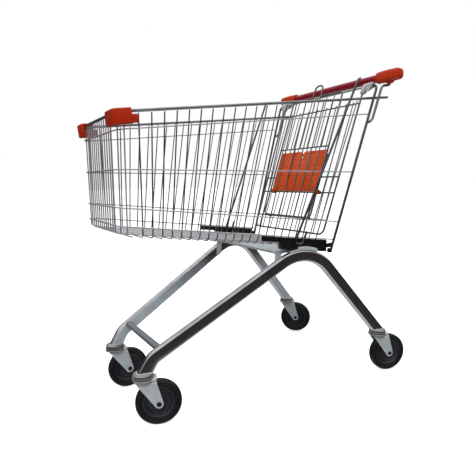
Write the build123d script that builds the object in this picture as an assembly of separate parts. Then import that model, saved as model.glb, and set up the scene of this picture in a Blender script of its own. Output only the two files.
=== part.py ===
from build123d import *
import os
from math import atan, cos, degrees, radians, sin, sqrt

# Wire-basket shopping cart on four swivel casters, with a swing-up rear gate and a folding
# child seat.  Millimetres, +Z up, the nose points to -Y and the handle is at +Y.
# The parts are laid out about the rear caster axes (Y = 0, floor Z = 0) and then moved
# back by ORIGIN_Y, so that the origin is the bottom centre of the whole cart's box.

ORIGIN_Y = 376.6
GAP = 0.05            # clearance between pieces that only touch
RUNNING_FIT = 0.08    # radial clearance of a pin or a bar that turns in its bore
WELD_BITE = 0.8       # how far two crossing wires sink into each other at a weld

# Casters
WHEEL_R = 62.5
TYRE_WIDTH = 25.0
HUB_R = 44.0
HUB_WIDTH = 23.0
HUB_BOSS_R = 11.0
AXLE_R = 5.0
TRAIL = 38.7
FORK_INNER = 32.0
FORK_SHEET = 3.0
CROWN_R = 30.0
CROWN_BOTTOM = 127.0
CROWN_TOP = 134.0
RACE_BOTTOM = 134.4
RACE_TOP = 141.0
TOP_PLATE_R = 27.0
TOP_PLATE_TOP = 146.0
KING_PIN_R = 6.0
CASTERS = {
    "front_left": (124.3, -785.6, 19.2),
    "front_right": (-124.3, -785.6, 0.0),
    "rear_left": (242.6, 0.0, 17.5),
    "rear_right": (-242.6, 0.0, 41.7),
}

# Chassis legs: rounded rectangular tube bent in the vertical plane over both casters
LEG_DEPTH = 36.0
LEG_WIDTH = 22.0
LEG_WALL = 1.5
LEG_CORNER_R = 7.0
LEG_APEX = (278.0, 457.5)       # run from the rear caster axis, height, of the tubes' corner
LEG_APEX_BEND = 130.0
LEG_REAR_END = (4.5, 147.5)
LEG_FRONT_KNEE = (766.0, 183.0)
LEG_FRONT_END = (788.5, 147.5)
LEG_FRONT_BEND = 45.0
CROSSBAR_Y = -738.0
CROSSBAR_Z = 203.0
CROSSBAR_SIZE = (20.0, 14.0)

# Basket: leaning side panels, upright front panel and sloping floor
FRONT_Y = -836.0
RIM_FRONT_Z = 811.0
RIM_SLOPE = 0.1151
SIDE_AT_RIM_FRONT = 165.5
SIDE_PER_Y = 0.0781
SIDE_PER_Z = 0.0345
MESH_R = 2.0
RAIL_R = 2.0
RAIL_OUT = MESH_R + RAIL_R - WELD_BITE
RIM_R = 4.0
RIM_OUT = 1.4
RIM_REAR_Y = 21.0
RAIL_BEND = 35.0
RIM_BEND = RAIL_BEND - (RAIL_OUT - RIM_OUT)
SIDE_WIRES = 22
SIDE_TOP_START, SIDE_TOP_PITCH = -786.0, 32.45
SIDE_LOW_START, SIDE_LOW_PITCH = -783.0, 25.6
RAIL_SPLIT_Y = -794.0
LOW_RAIL = (543.0, -0.121)      # height at the front face, rise per mm toward the rear
RAILS = (LOW_RAIL, (588.0, -0.103), (679.0, -0.008), (770.5, 0.1056))
FLOOR_DROP = 25.0
FLOOR_BEND = 10.0
FLOOR_REAR_Y = -190.0
FRONT_PITCH = 20.0
FRONT_WIRES = 12
FLOOR_FAN = 1.5

# Rear hoop, handle arms and side struts: heavy wires outside the side panels
HOOP_R = 4.0
HOOP_OUT = RAIL_OUT + RAIL_R + HOOP_R + GAP
HOOP_SLOPE = 0.3112
HOOP_REF = (-46.0, 904.0)
HINGE_Z = 944.0
HINGE_Y = HOOP_REF[0] + (HINGE_Z - HOOP_REF[1]) * HOOP_SLOPE
HOOP_BEND = 18.0
STRUT_R = 3.5
STRUT_OUT = RAIL_OUT + RAIL_R + STRUT_R + GAP

# Handle
HANDLE_Y, HANDLE_Z = 17.0, 974.0
HANDLE_R = 12.5
HANDLE_HALF = 226.0
CAP_INNER, CAP_OUTER = 203.0, 288.0
CAP_DEPTH, CAP_HEIGHT = 36.0, 31.0
ARM_TOP_X = 245.0
SCREW_X = 274.0

# Gate, child seat back and seat plate, laid out along the leaning gate
GATE_LEAN = 18.8
GATE_FRONT = 9.0                # the gate wires hang this far in front of the hinge bar
GATE_EDGE_R = 3.0
GATE_TOP_HALF, GATE_LOW_HALF = 197.0, 183.0
GATE_TOP_S, GATE_LOW_S = -54.0, -493.0
GATE_WIRE_PITCH = 46.0
PIVOT_R = 2.5
PIVOT_D = MESH_R + PIVOT_R - WELD_BITE
SEAT_BACK_S = -447.0
SEAT_BACK_TOP_S = -10.0
SEAT_BACK_HALF = 125.0
SEAT_BACK_MIDDLE_S = -200.0
SEAT_BACK_D = 18.0
SEAT_BACK_R = 3.0
SEAT_PLATE_S = -356.0
SEAT_PLATE_HEIGHT = 146.0
SEAT_PLATE_HALF = 119.0
SEAT_PLATE_D = 9.5
SEAT_PLATE_THICK = 4.5
LUG_R = 6.0

os.makedirs("parts", exist_ok=True)


# ---------------------------------------------------------------- helpers

def save(shape, name):
    """Move a finished piece to the cart's origin and write it as its own node."""
    shape = Pos(0, ORIGIN_Y, 0) * shape
    shape.label = name
    export_step(shape, f"parts/{name}.step")


def mirrored(shape):
    return shape.mirror(Plane.YZ)


def flipped(point):
    """The same point on the cart's other side."""
    return Vector(-point.X, point.Y, point.Z)


def rod(start, end, radius):
    start, end = Vector(*start), Vector(*end)
    return Solid.make_cylinder(radius, (end - start).length, Plane(start, z_dir=end - start))


def bent_wire(points, radius, bend):
    path = FilletPolyline(*[Vector(*p) for p in points], radius=bend)
    section = Plane(path @ 0, z_dir=path % 0) * Circle(radius)
    return sweep(section, path=path)


def weld(pieces):
    """Fuse wires that cross into one welded piece."""
    first, *rest = [solid for piece in pieces for solid in piece.solids()]
    return Part(first.fuse(*rest).wrapped)


def box_between(low, high):
    size = [b - a for a, b in zip(low, high)]
    centre = [(a + b) / 2 for a, b in zip(low, high)]
    return Pos(*centre) * Box(*size)


# ---------------------------------------------------------------- basket geometry

SIDE_NORMAL = Vector(1, -SIDE_PER_Y, -SIDE_PER_Z).normalized()


def rim_z(y):
    return RIM_FRONT_Z + RIM_SLOPE * (y - FRONT_Y)


def rail_z(rail, y):
    return rail[0] + rail[1] * (y - FRONT_Y)


def floor_z(y):
    return rail_z(LOW_RAIL, y) - FLOOR_DROP


def side(y, z, out=0.0):
    """A point on the left side panel, or out from it along its normal."""
    x = SIDE_AT_RIM_FRONT + SIDE_PER_Y * (y - FRONT_Y) + SIDE_PER_Z * (z - RIM_FRONT_Z)
    return Vector(x, y, z) + SIDE_NORMAL * out


def hoop_y(z):
    return HOOP_REF[0] + (z - HOOP_REF[1]) * HOOP_SLOPE


def side_wire_ends(index):
    """Y where an upright wire meets the rim and where it meets the floor."""
    top = SIDE_TOP_START + SIDE_TOP_PITCH * index
    low = SIDE_LOW_START + SIDE_LOW_PITCH * index
    top_z, low_z = rim_z(top), rail_z(LOW_RAIL, low)
    foot = low + (low - top) * FLOOR_DROP / (top_z - low_z)
    return top, foot


def side_wire(index):
    top_y, foot_y = side_wire_ends(index)
    top_z = rim_z(top_y) - RIM_R - 1.0
    foot = side(foot_y, floor_z(foot_y))
    inner = foot + Vector(-(FLOOR_BEND + 3), 0, 0)
    return bent_wire([side(top_y, top_z), foot, inner], MESH_R, FLOOR_BEND)


def side_rail(rail):
    rear_y = hoop_y(rail_z(rail, -150.0)) + 3.0
    front_y = RAIL_SPLIT_Y + 10 * GAP
    return rod(side(front_y, rail_z(rail, front_y), RAIL_OUT),
               side(rear_y, rail_z(rail, rear_y), RAIL_OUT), RAIL_R)


def side_mesh():
    wires = [side_wire(i) for i in range(SIDE_WIRES)]
    return weld(wires + [side_rail(rail) for rail in RAILS])


def corner_centre(z):
    """Centre of the front corner's bend, on the line of the upright wires."""
    bend = RAIL_BEND - RAIL_OUT
    inset = bend * (sqrt(1 + SIDE_PER_Y ** 2) - SIDE_PER_Y)
    return Vector(side(FRONT_Y, z).X - inset, FRONT_Y + bend, z)


def corner_wire(angle):
    bend = RAIL_BEND - RAIL_OUT
    turn = Vector(bend * cos(radians(angle)), -bend * sin(radians(angle)), 0)
    top_z, low_z = rim_z(FRONT_Y) - RIM_R - 1.0, LOW_RAIL[0] - FLOOR_DROP + 4
    return rod(corner_centre(low_z) + turn, corner_centre(top_z) + turn, MESH_R)


def front_rail(rail):
    side_start = side(RAIL_SPLIT_Y, rail_z(rail, RAIL_SPLIT_Y), RAIL_OUT)
    corner = side(FRONT_Y - RAIL_OUT, rail[0], RAIL_OUT)
    return bent_wire([side_start, corner, flipped(corner), flipped(side_start)], RAIL_R, RAIL_BEND)


def front_wire_xs():
    return [FRONT_PITCH * (i - (FRONT_WIRES - 1) / 2) for i in range(FRONT_WIRES)]


def front_mesh():
    top_z = RIM_FRONT_Z - RIM_R - 0.3
    run_y = FRONT_Y + FLOOR_BEND + 3
    lift = 2 * MESH_R - WELD_BITE
    wires = []
    for x in front_wire_xs():
        foot = (x, FRONT_Y, floor_z(FRONT_Y) + lift)
        wires.append(bent_wire([(x, FRONT_Y, top_z), foot, (x, run_y, floor_z(run_y) + lift)],
                               MESH_R, FLOOR_BEND))
    corners = [corner_wire(angle) for angle in (30, 62)]
    wires += corners + [mirrored(wire) for wire in corners]
    return weld(wires + [front_rail(rail) for rail in RAILS])


def floor_mesh():
    """Cross wires that continue the side wires, under lengthwise wires that fan out."""
    feet = [side_wire_ends(i)[1] for i in range(SIDE_WIRES)]
    cross = []
    for y in feet:
        half = side(y, floor_z(y)).X - (FLOOR_BEND + 3)
        cross.append(rod((-half, y, floor_z(y)), (half, y, floor_z(y)), MESH_R))
    for y in (feet[0] - SIDE_LOW_PITCH, feet[-1] + SIDE_LOW_PITCH, FLOOR_REAR_Y - 3):
        half = side(y, floor_z(y)).X - 3
        cross.append(rod((-half, y, floor_z(y)), (half, y, floor_z(y)), MESH_R))
    lift = 2 * MESH_R - WELD_BITE
    start_y = FRONT_Y + FLOOR_BEND + 3.6
    runs = [rod((x, start_y, floor_z(start_y) + lift),
                (x * FLOOR_FAN, FLOOR_REAR_Y, floor_z(FLOOR_REAR_Y) + lift), MESH_R)
            for x in front_wire_xs()]
    return weld(cross + runs)


def rim_wire():
    rear = side(RIM_REAR_Y, rim_z(RIM_REAR_Y), RIM_OUT)
    corner_y = FRONT_Y - RIM_OUT
    corner = side(corner_y, rim_z(corner_y), RIM_OUT)
    return bent_wire([rear, corner, flipped(corner), flipped(rear)], RIM_R, RIM_BEND)


# ---------------------------------------------------------------- heavy wires and handle

def rear_hoop():
    """Inverted U over both rear edges; its top bar is the gate's hinge."""
    toe = side(hoop_y(438.0) - 12.0, 430.0, HOOP_OUT)
    heel = side(hoop_y(436.0), 433.0, HOOP_OUT)
    corner = Vector(side(HINGE_Y, HINGE_Z, HOOP_OUT).X, HINGE_Y, HINGE_Z)
    points = [toe, heel, corner]
    points += [flipped(p) for p in reversed(points)]
    return bent_wire(points, HOOP_R, [6, HOOP_BEND, HOOP_BEND, 6])


def handle_arm():
    top = [Vector(ARM_TOP_X, 20.0, 966.0), Vector(ARM_TOP_X, 20.0, 947.0)]
    rest = [side(y, z, HOOP_OUT) for y, z in ((-14.0, 940.0), (-47.0, 838.0), (-62.0, 825.4))]
    return bent_wire(top + rest, HOOP_R, [8, 16, 14])


def side_strut():
    tip = side(-99.0, 956.0, STRUT_OUT) + Vector(-6, 0, 0)
    route = [(-113.0, 950.0), (-331.0, 464.0), (-302.0, 460.0), (-287.0, 497.0)]
    return bent_wire([tip] + [side(y, z, STRUT_OUT) for y, z in route], STRUT_R, [6, 11, 11])


def handle_tube():
    shape = Cylinder(HANDLE_R, 2 * HANDLE_HALF) - Cylinder(HANDLE_R - 1.5, 2 * HANDLE_HALF)
    return Pos(0, HANDLE_Y, HANDLE_Z) * (Rot(0, 90, 0) * shape)


def handle_cap():
    body = box_between((CAP_INNER, HANDLE_Y - CAP_DEPTH / 2, HANDLE_Z - CAP_HEIGHT / 2),
                       (CAP_OUTER, HANDLE_Y + CAP_DEPTH / 2, HANDLE_Z + CAP_HEIGHT / 2))
    body = fillet(body.edges().filter_by(Axis.X), 11.0)
    body = fillet(body.faces().sort_by(Axis.X)[-1].edges(), 5.0)
    body += Pos(CAP_INNER + 2, HANDLE_Y, HANDLE_Z) * (Rot(0, 90, 0) * Cylinder(18.5, 4.0))
    bore_end = HANDLE_HALF + 0.2
    body -= rod((CAP_INNER - 1, HANDLE_Y, HANDLE_Z), (bore_end, HANDLE_Y, HANDLE_Z),
                HANDLE_R + GAP)
    body -= rod((ARM_TOP_X, 20.0, 950.0), (ARM_TOP_X, 20.0, 967.0), HOOP_R + GAP)
    front = HANDLE_Y - CAP_DEPTH / 2
    body -= rod((SCREW_X, front - 1, HANDLE_Z + 2), (SCREW_X, front + 3, HANDLE_Z + 2), 5.0)
    body -= rod((SCREW_X, front, HANDLE_Z + 2), (SCREW_X, front + 20, HANDLE_Z + 2), 2.0 + GAP)
    return body


def handle_screw():
    front = HANDLE_Y - CAP_DEPTH / 2
    head = rod((SCREW_X, front + 0.3, HANDLE_Z + 2), (SCREW_X, front + 2.95, HANDLE_Z + 2), 4.0)
    shank = rod((SCREW_X, front + 2.9, HANDLE_Z + 2), (SCREW_X, front + 19, HANDLE_Z + 2), 2.0)
    slot = box_between((SCREW_X - 3, front - 1, HANDLE_Z + 1.4),
                       (SCREW_X + 3, front + 1.3, HANDLE_Z + 2.6))
    return head + shank - slot


# ---------------------------------------------------------------- bumpers

BUMPER_IN = RIM_OUT + RIM_R + 0.9
BUMPER_OUT = BUMPER_IN + 12.0
BUMPER_TOP, BUMPER_LOW = 12.0, -31.0
BUMPER_LIP = RIM_R + 0.3
BUMPER_FRONT_X = 118.0
BUMPER_REAR_Y = 58.0


def corner_band(inner, outer, low, high):
    """Band round the front left corner, between two offsets of the panels' outline."""
    corner = side(FRONT_Y, RIM_FRONT_Z)

    def outline(out, bend):
        x, y = corner.X + out, -out
        lean = SIDE_PER_Y * BUMPER_REAR_Y
        return FilletPolyline((BUMPER_FRONT_X, y), (x - SIDE_PER_Y * out, y),
                              (x + lean, BUMPER_REAR_Y), radius=bend)

    outer_path = outline(outer, RIM_BEND + outer - RIM_OUT)
    inner_path = outline(inner, RIM_BEND + inner - RIM_OUT)
    ends = [Line(outer_path @ 0, inner_path @ 0), Line(outer_path @ 1, inner_path @ 1)]
    face = make_face(outer_path.edges() + inner_path.edges() + [e.edge() for e in ends])
    return Pos(0, 0, low) * extrude(face, high - low, dir=(0, 0, 1))


def bumper():
    """Plastic corner guard that hooks over the rim, built level and tilted to the rim."""
    band = corner_band(BUMPER_IN, BUMPER_OUT, BUMPER_LOW, BUMPER_TOP)
    lip = corner_band(-5.0, BUMPER_IN + 1.0, BUMPER_LIP, BUMPER_TOP)
    body = fillet((band + lip).edges().group_by(Axis.Z)[-1], 3.0)
    tilt = Rot(degrees(atan(RIM_SLOPE)), 0, 0)
    return Pos(0, FRONT_Y, RIM_FRONT_Z) * (tilt * body)


# ---------------------------------------------------------------- chassis

LEG_X_REAR = CASTERS["rear_left"][0]
LEG_X_FRONT, LEG_Y_FRONT = CASTERS["front_left"][:2]
LEG_RUN = sqrt((LEG_X_REAR - LEG_X_FRONT) ** 2 + LEG_Y_FRONT ** 2)


def leg_point(run, z):
    """A point in the left leg's vertical plane, by its run from the rear caster axis."""
    share = run / LEG_RUN
    return Vector(LEG_X_REAR + (LEG_X_FRONT - LEG_X_REAR) * share, LEG_Y_FRONT * share, z)


def leg_tube():
    across = Vector(-LEG_Y_FRONT, LEG_X_FRONT - LEG_X_REAR, 0).normalized()
    below = 30.0
    slope_r = (LEG_APEX[1] - LEG_REAR_END[1]) / (LEG_APEX[0] - LEG_REAR_END[0])
    slope_f = (LEG_FRONT_END[1] - LEG_FRONT_KNEE[1]) / (LEG_FRONT_END[0] - LEG_FRONT_KNEE[0])
    rear = (LEG_REAR_END[0] - below / slope_r, LEG_REAR_END[1] - below)
    front = (LEG_FRONT_END[0] - below / slope_f, LEG_FRONT_END[1] - below)
    points = [leg_point(*p) for p in (rear, LEG_APEX, LEG_FRONT_KNEE, front)]
    path = FilletPolyline(*points, radius=[LEG_APEX_BEND, LEG_FRONT_BEND])
    plane = Plane(path @ 0, x_dir=across, z_dir=path % 0)
    outer = RectangleRounded(LEG_WIDTH, LEG_DEPTH, LEG_CORNER_R)
    inner = RectangleRounded(LEG_WIDTH - 2 * LEG_WALL, LEG_DEPTH - 2 * LEG_WALL,
                             LEG_CORNER_R - LEG_WALL)
    tube = sweep(plane * (outer - inner), path=path)
    return tube - box_between((0, -1000, 0), (400, 200, TOP_PLATE_TOP + GAP))


def leg_face(inset=0.0, run=0.0, z=0.0):
    """Plane beside the left leg: X runs back along it, Y is up and Z points outward."""
    along = (leg_point(0, 0) - leg_point(LEG_RUN, 0)).normalized()
    across = Vector(along.Y, -along.X, 0)
    return Plane(leg_point(run, z) - across * inset, x_dir=along, z_dir=across)


def crossbar():
    half = leg_point(CROSSBAR_Y / LEG_Y_FRONT * LEG_RUN, 0).X
    bar = extrude(Plane.YZ * RectangleRounded(*CROSSBAR_SIZE, 5.0), half, both=True)
    cut = extrude(leg_face(LEG_WIDTH / 2 + GAP) * Rectangle(3 * LEG_RUN, 1000), 60.0)
    return Pos(0, CROSSBAR_Y, CROSSBAR_Z) * bar - cut - mirrored(cut)


BRIDGE_FRONT_Y, BRIDGE_REAR_Y = -385.0, -232.0
BRIDGE_TOP = 441.5
BRIDGE_SHEET = 3.0
BRIDGE_FLANGE = 18.0
GUSSET_LENGTH = 90.0


def bridge():
    """Sheet cross-member under the floor, folded down in front and against each leg."""
    end_face = LEG_WIDTH / 2 + GAP
    length = BRIDGE_REAR_Y - BRIDGE_FRONT_Y
    top = box_between((-250, 0, -BRIDGE_SHEET), (250, length, 0))
    flange = box_between((-250, 0, -BRIDGE_FLANGE), (250, BRIDGE_SHEET, 0))
    sheet = Pos(0, BRIDGE_FRONT_Y, BRIDGE_TOP) * (top + flange)
    cut = extrude(leg_face(end_face) * Rectangle(3 * LEG_RUN, 1000), 100.0)
    return sheet - cut - mirrored(cut) + gusset() + mirrored(gusset())


def gusset():
    """Plate from the cross-member down the inner face of the left leg."""
    run = BRIDGE_FRONT_Y / LEG_Y_FRONT * LEG_RUN
    plane = leg_face(LEG_WIDTH / 2 + GAP + BRIDGE_SHEET, run)
    low = Spline((0, 398), (0.25 * GUSSET_LENGTH, 398), (GUSSET_LENGTH, 428))
    sides = Polyline((GUSSET_LENGTH, 428), (GUSSET_LENGTH, BRIDGE_TOP), (0, BRIDGE_TOP), (0, 398))
    return extrude(plane * make_face([low.edge()] + sides.edges()), BRIDGE_SHEET)


def saddle():
    """Rest welded on top of the left leg's bend, under the cross-member."""
    inner, outer = LEG_APEX_BEND + LEG_DEPTH / 2 + GAP, LEG_APEX_BEND + LEG_DEPTH / 2 + 3.0
    ring = Circle(outer) - Circle(inner)
    window = Pos(-8, outer) * Rectangle(66, 40)
    return extrude(leg_face(0, *leg_arc_centre()) * (ring & window), LEG_WIDTH / 2 - 1, both=True)


def leg_arc_centre():
    """Run and height of the centre of the leg's upper bend."""
    rear = Vector(LEG_REAR_END[0] - LEG_APEX[0], LEG_REAR_END[1] - LEG_APEX[1], 0).normalized()
    knee = Vector(LEG_FRONT_KNEE[0] - LEG_APEX[0], LEG_FRONT_KNEE[1] - LEG_APEX[1], 0)
    front = knee.normalized()
    half = radians(rear.get_angle(front) / 2)
    bisector = (rear + front).normalized()
    centre = Vector(*LEG_APEX, 0) + bisector * (LEG_APEX_BEND / sin(half))
    return centre.X, centre.Y


GUARD_FRONT_Y, GUARD_STEP_Y, GUARD_REAR_Y = -455.0, -394.0, -212.0
GUARD_HEIGHT, GUARD_TAIL = 40.0, 18.0


def side_guard():
    """Black plastic rest between the basket's lower left edge and the leg."""
    length = GUARD_REAR_Y - GUARD_FRONT_Y
    step = GUARD_STEP_Y - GUARD_FRONT_Y
    top = -RAIL_R - 0.3
    outline = Polyline((0, top), (0, -GUARD_TAIL), (step, -GUARD_TAIL), (step + 8, -GUARD_HEIGHT),
                       (length, -GUARD_HEIGHT), (length + 3, top), close=True)
    low_front = rail_z(LOW_RAIL, GUARD_FRONT_Y)
    along = Vector(SIDE_PER_Y + SIDE_PER_Z * LOW_RAIL[1], 1, LOW_RAIL[1]).normalized()
    origin = side(GUARD_FRONT_Y, low_front, MESH_R + 0.3)
    plane = Plane(origin, x_dir=along, z_dir=SIDE_NORMAL)
    skirt = extrude(plane * make_face(outline), RAIL_OUT + RAIL_R - MESH_R - 0.35)
    foot_top = -FLOOR_DROP - MESH_R - 1.0
    foot = Polyline((step + 6, foot_top), (step + 8, -GUARD_HEIGHT), (length, -GUARD_HEIGHT),
                    (length, foot_top), close=True)
    ledge = extrude(plane * make_face(foot), -18.0)
    ledge -= box_between((0, GUARD_FRONT_Y, 0), (300, GUARD_REAR_Y + 50, BRIDGE_TOP + GAP))
    arch_r = LEG_APEX_BEND + LEG_DEPTH / 2 + 4.0
    arch = extrude(leg_face(0, *leg_arc_centre()) * Circle(arch_r), 60.0, both=True)
    return skirt + ledge - arch


# ---------------------------------------------------------------- casters

def place_caster(shape, name):
    x, y, angle = CASTERS[name]
    return Pos(x, y, 0) * (Rot(0, 0, -angle) * shape)


def caster_top():
    """Fixed half of the swivel: plate under the leg, ball race and king pin."""
    plate = rod((0, 0, RACE_TOP), (0, 0, TOP_PLATE_TOP), TOP_PLATE_R)
    race = rod((0, 0, RACE_BOTTOM), (0, 0, RACE_TOP), CROWN_R - 2)
    pin = rod((0, 0, 122.5), (0, 0, RACE_BOTTOM + 1), KING_PIN_R)
    head = rod((0, 0, 120.0), (0, 0, 124.5), 8.0)
    body = plate + race + pin + head
    return fillet(body.edges().filter_by(GeomType.CIRCLE).sort_by(Axis.Z)[-1], 2.0)


def fork():
    """Pressed steel crown with two tapering legs that carry the axle."""
    crown = rod((0, 0, CROWN_BOTTOM), (0, 0, CROWN_TOP), CROWN_R)
    crown = fillet(crown.edges().filter_by(GeomType.CIRCLE), 2.5)
    crown -= rod((0, 0, CROWN_BOTTOM - 1), (0, 0, CROWN_TOP + 1), KING_PIN_R + RUNNING_FIT)
    outline = Pos(TRAIL, WHEEL_R) * Circle(15.0)
    outline = make_hull(outline.edges() + (Pos(0, CROWN_BOTTOM + 2) * Rectangle(46, 4)).edges())
    body = crown
    for flip in (1, -1):
        inner = FORK_INNER / 2 * flip
        plane = Plane((inner, 0, 0), x_dir=(0, 1, 0), z_dir=(1, 0, 0))
        body += extrude(plane * outline, FORK_SHEET * flip)
    return body - rod((-40, TRAIL, WHEEL_R), (40, TRAIL, WHEEL_R), AXLE_R + GAP)


def tyre():
    half = TYRE_WIDTH / 2
    ring = rod((-half, TRAIL, WHEEL_R), (half, TRAIL, WHEEL_R), WHEEL_R)
    ring = fillet(ring.edges().filter_by(GeomType.CIRCLE), 5.0)
    return ring - rod((-20, TRAIL, WHEEL_R), (20, TRAIL, WHEEL_R), HUB_R + GAP)


def hub():
    half = HUB_WIDTH / 2
    disc = rod((-half, TRAIL, WHEEL_R), (half, TRAIL, WHEEL_R), HUB_R)
    for end in (-half, half):
        depth = 5.0 if end > 0 else -5.0
        groove = rod((end - depth, TRAIL, WHEEL_R), (end, TRAIL, WHEEL_R), HUB_R - 6)
        groove -= rod((end - depth, TRAIL, WHEEL_R), (end, TRAIL, WHEEL_R), 17.0)
        disc -= groove
    boss_half = FORK_INNER / 2 - 0.4
    disc += rod((-boss_half, TRAIL, WHEEL_R), (boss_half, TRAIL, WHEEL_R), HUB_BOSS_R)
    return disc - rod((-20, TRAIL, WHEEL_R), (20, TRAIL, WHEEL_R), AXLE_R + RUNNING_FIT)


def axle():
    """Axle bolt with a hexagon head, and its nut."""
    face = FORK_INNER / 2 + FORK_SHEET + GAP
    bolt = rod((-face - 6, TRAIL, WHEEL_R), (face + 9, TRAIL, WHEEL_R), AXLE_R)
    for start in (face, -face - 5.5):
        plane = Plane((start, TRAIL, WHEEL_R), x_dir=(0, 1, 0), z_dir=(1, 0, 0))
        bolt += extrude(plane * RegularPolygon(8.5, 6), 5.5)
    return bolt


# ---------------------------------------------------------------- gate and child seat

GATE_UP = Vector(0, sin(radians(GATE_LEAN)), cos(radians(GATE_LEAN)))
GATE_FORWARD = Vector(0, -cos(radians(GATE_LEAN)), sin(radians(GATE_LEAN)))
GATE_FORWARD_AXIS = Axis((0, 0, 0), GATE_FORWARD)
GATE_ORIGIN = Vector(0, HINGE_Y - GATE_FRONT, HINGE_Z)


def on_gate(x, s, d=0.0):
    """A point by its X, its distance up the gate and its distance in front of it."""
    return GATE_ORIGIN + Vector(x, 0, 0) + GATE_UP * s + GATE_FORWARD * d


def gate_half(s):
    share = s / GATE_LOW_S
    return GATE_TOP_HALF + (GATE_LOW_HALF - GATE_TOP_HALF) * share


def gate_bar(s, half, d, radius):
    return rod(on_gate(-half, s, d), on_gate(half, s, d), radius)


HINGE_S = GATE_FRONT * sin(radians(GATE_LEAN))
HINGE_D = -GATE_FRONT * cos(radians(GATE_LEAN))


def gate_frame():
    corners = [on_gate(gate_half(s) * k, s) for s, k in
               ((-6.0, 1), (GATE_LOW_S, 1), (GATE_LOW_S, -1), (-6.0, -1))]
    edge = bent_wire(corners, GATE_EDGE_R, 20.0)
    behind = -PIVOT_D
    pieces = [edge]
    for s, d in ((GATE_TOP_S, behind), (-300.0, behind), (SEAT_BACK_S, PIVOT_D),
                 (SEAT_PLATE_S, PIVOT_D)):
        pieces.append(gate_bar(s, gate_half(s), d, PIVOT_R))
    for k in range(-3, 4):
        x = GATE_WIRE_PITCH * k
        pieces.append(rod(on_gate(x, GATE_TOP_S + 6), on_gate(x, GATE_LOW_S + 1), MESH_R))
    for x in (-168, 168):
        pieces.append(rod(on_gate(x, GATE_TOP_S + 6), on_gate(x * 0.95, GATE_LOW_S + 1), MESH_R))
    return weld(pieces)


def gate_clip():
    """Plastic hinge block: turns on the hoop's bar and holds the gate's edge wire."""
    inner, outer = 191.0, 220.0
    plane = Plane(on_gate(inner, 0), x_dir=GATE_FORWARD, z_dir=(1, 0, 0))
    eye = Pos(HINGE_D, -HINGE_S) * Circle(HOOP_R + 5.5)
    grip = Pos(0.5, 20.0) * Rectangle(12.0, 26.0)
    body = extrude(plane * make_hull(eye.edges() + grip.edges()), outer - inner)
    body -= gate_bar(HINGE_S, 300, HINGE_D, HOOP_R + RUNNING_FIT)
    wire_x = gate_half(-6.0)
    body -= rod(on_gate(wire_x, -5.9), on_gate(gate_half(-60.0), -60.0), GATE_EDGE_R + GAP)
    return body


def seat_back():
    """Closed wire frame with a pull loop in its top bar, one cross wire and upright wires."""
    half, low, top, d = SEAT_BACK_HALF, SEAT_BACK_S, SEAT_BACK_TOP_S, SEAT_BACK_D
    loop_half, loop_top = 20.0, top + 50.0
    right = [(half, low, 14), (half, top, 14), (loop_half + 2, top, 6), (loop_half, loop_top, 12)]
    corners = right + [(-x, s, bend) for x, s, bend in reversed(right)]
    path = FilletPolyline(*[on_gate(x, s, d) for x, s, _ in corners],
                          radius=[bend for _, _, bend in corners], close=True)
    frame = sweep(Plane(path @ 0, z_dir=path % 0) * Circle(SEAT_BACK_R), path=path)
    pieces = [frame, gate_bar(SEAT_BACK_MIDDLE_S, half, d, PIVOT_R)]
    for x in (-90, -54, -18, 18, 54, 90):
        pieces.append(rod(on_gate(x, SEAT_BACK_MIDDLE_S - 1, d), on_gate(x, top - 1.0, d), MESH_R))
    for x in (-42, 42):
        pieces.append(rod(on_gate(x, low + 1, d), on_gate(x, SEAT_BACK_MIDDLE_S + 1, d), MESH_R))
    for x in (-105, 105):
        pieces.append(eye_bracket(x, SEAT_BACK_S, SEAT_BACK_D))
    return weld(pieces)


def eye_bracket(x, s, reach):
    """Flat eye that turns on a gate cross wire and carries what stands in front of it."""
    plane = Plane(on_gate(x - 3.5, s), x_dir=GATE_FORWARD, z_dir=(1, 0, 0))
    ring = Pos(PIVOT_D, 0) * Circle(LUG_R)
    arm = Pos((PIVOT_D + reach) / 2, 0) * Rectangle(reach - PIVOT_D, 7.0)
    hole = Pos(PIVOT_D, 0) * Circle(PIVOT_R + RUNNING_FIT)
    return extrude(plane * (ring + arm - hole), 7.0)


def seat_plate():
    """Moulded seat plate with a latch notch in its free edge and a hinge lug at each side."""
    low, high = SEAT_PLATE_S + 1.0, SEAT_PLATE_S + SEAT_PLATE_HEIGHT
    plane = Plane(on_gate(0, 0, SEAT_PLATE_D), x_dir=(1, 0, 0), z_dir=GATE_FORWARD)
    half = SEAT_PLATE_HALF
    outline = Polyline((-half, low), (half, low), (half, high), (9, high), (0, high - 9),
                       (-9, high), (-half, high), close=True)
    plate = extrude(plane * make_face(outline), SEAT_PLATE_THICK)
    plate = fillet(plate.edges().filter_by(GATE_FORWARD_AXIS).group_by(Axis.X)[0], 5.0)
    plate = fillet(plate.edges().filter_by(GATE_FORWARD_AXIS).group_by(Axis.X)[-1], 5.0)
    return plate + seat_lug(1) + seat_lug(-1)


def seat_lug(flip):
    start = on_gate(SEAT_PLATE_HALF * flip - (6.0 if flip > 0 else 7.5), SEAT_PLATE_S)
    plane = Plane(start, x_dir=GATE_FORWARD, z_dir=(1, 0, 0))
    far = SEAT_PLATE_D + SEAT_PLATE_THICK
    ring = Pos(PIVOT_D, 0) * Circle(LUG_R)
    arm = Pos((PIVOT_D + far) / 2, 3.5) * Rectangle(far - PIVOT_D, 10.0)
    hole = Pos(PIVOT_D, 0) * Circle(PIVOT_R + RUNNING_FIT)
    return extrude(plane * (ring + arm - hole), 13.5)


# ---------------------------------------------------------------- write every node

def save_pair(shape, name):
    save(shape, f"left_{name}")
    save(mirrored(shape), f"right_{name}")


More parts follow.
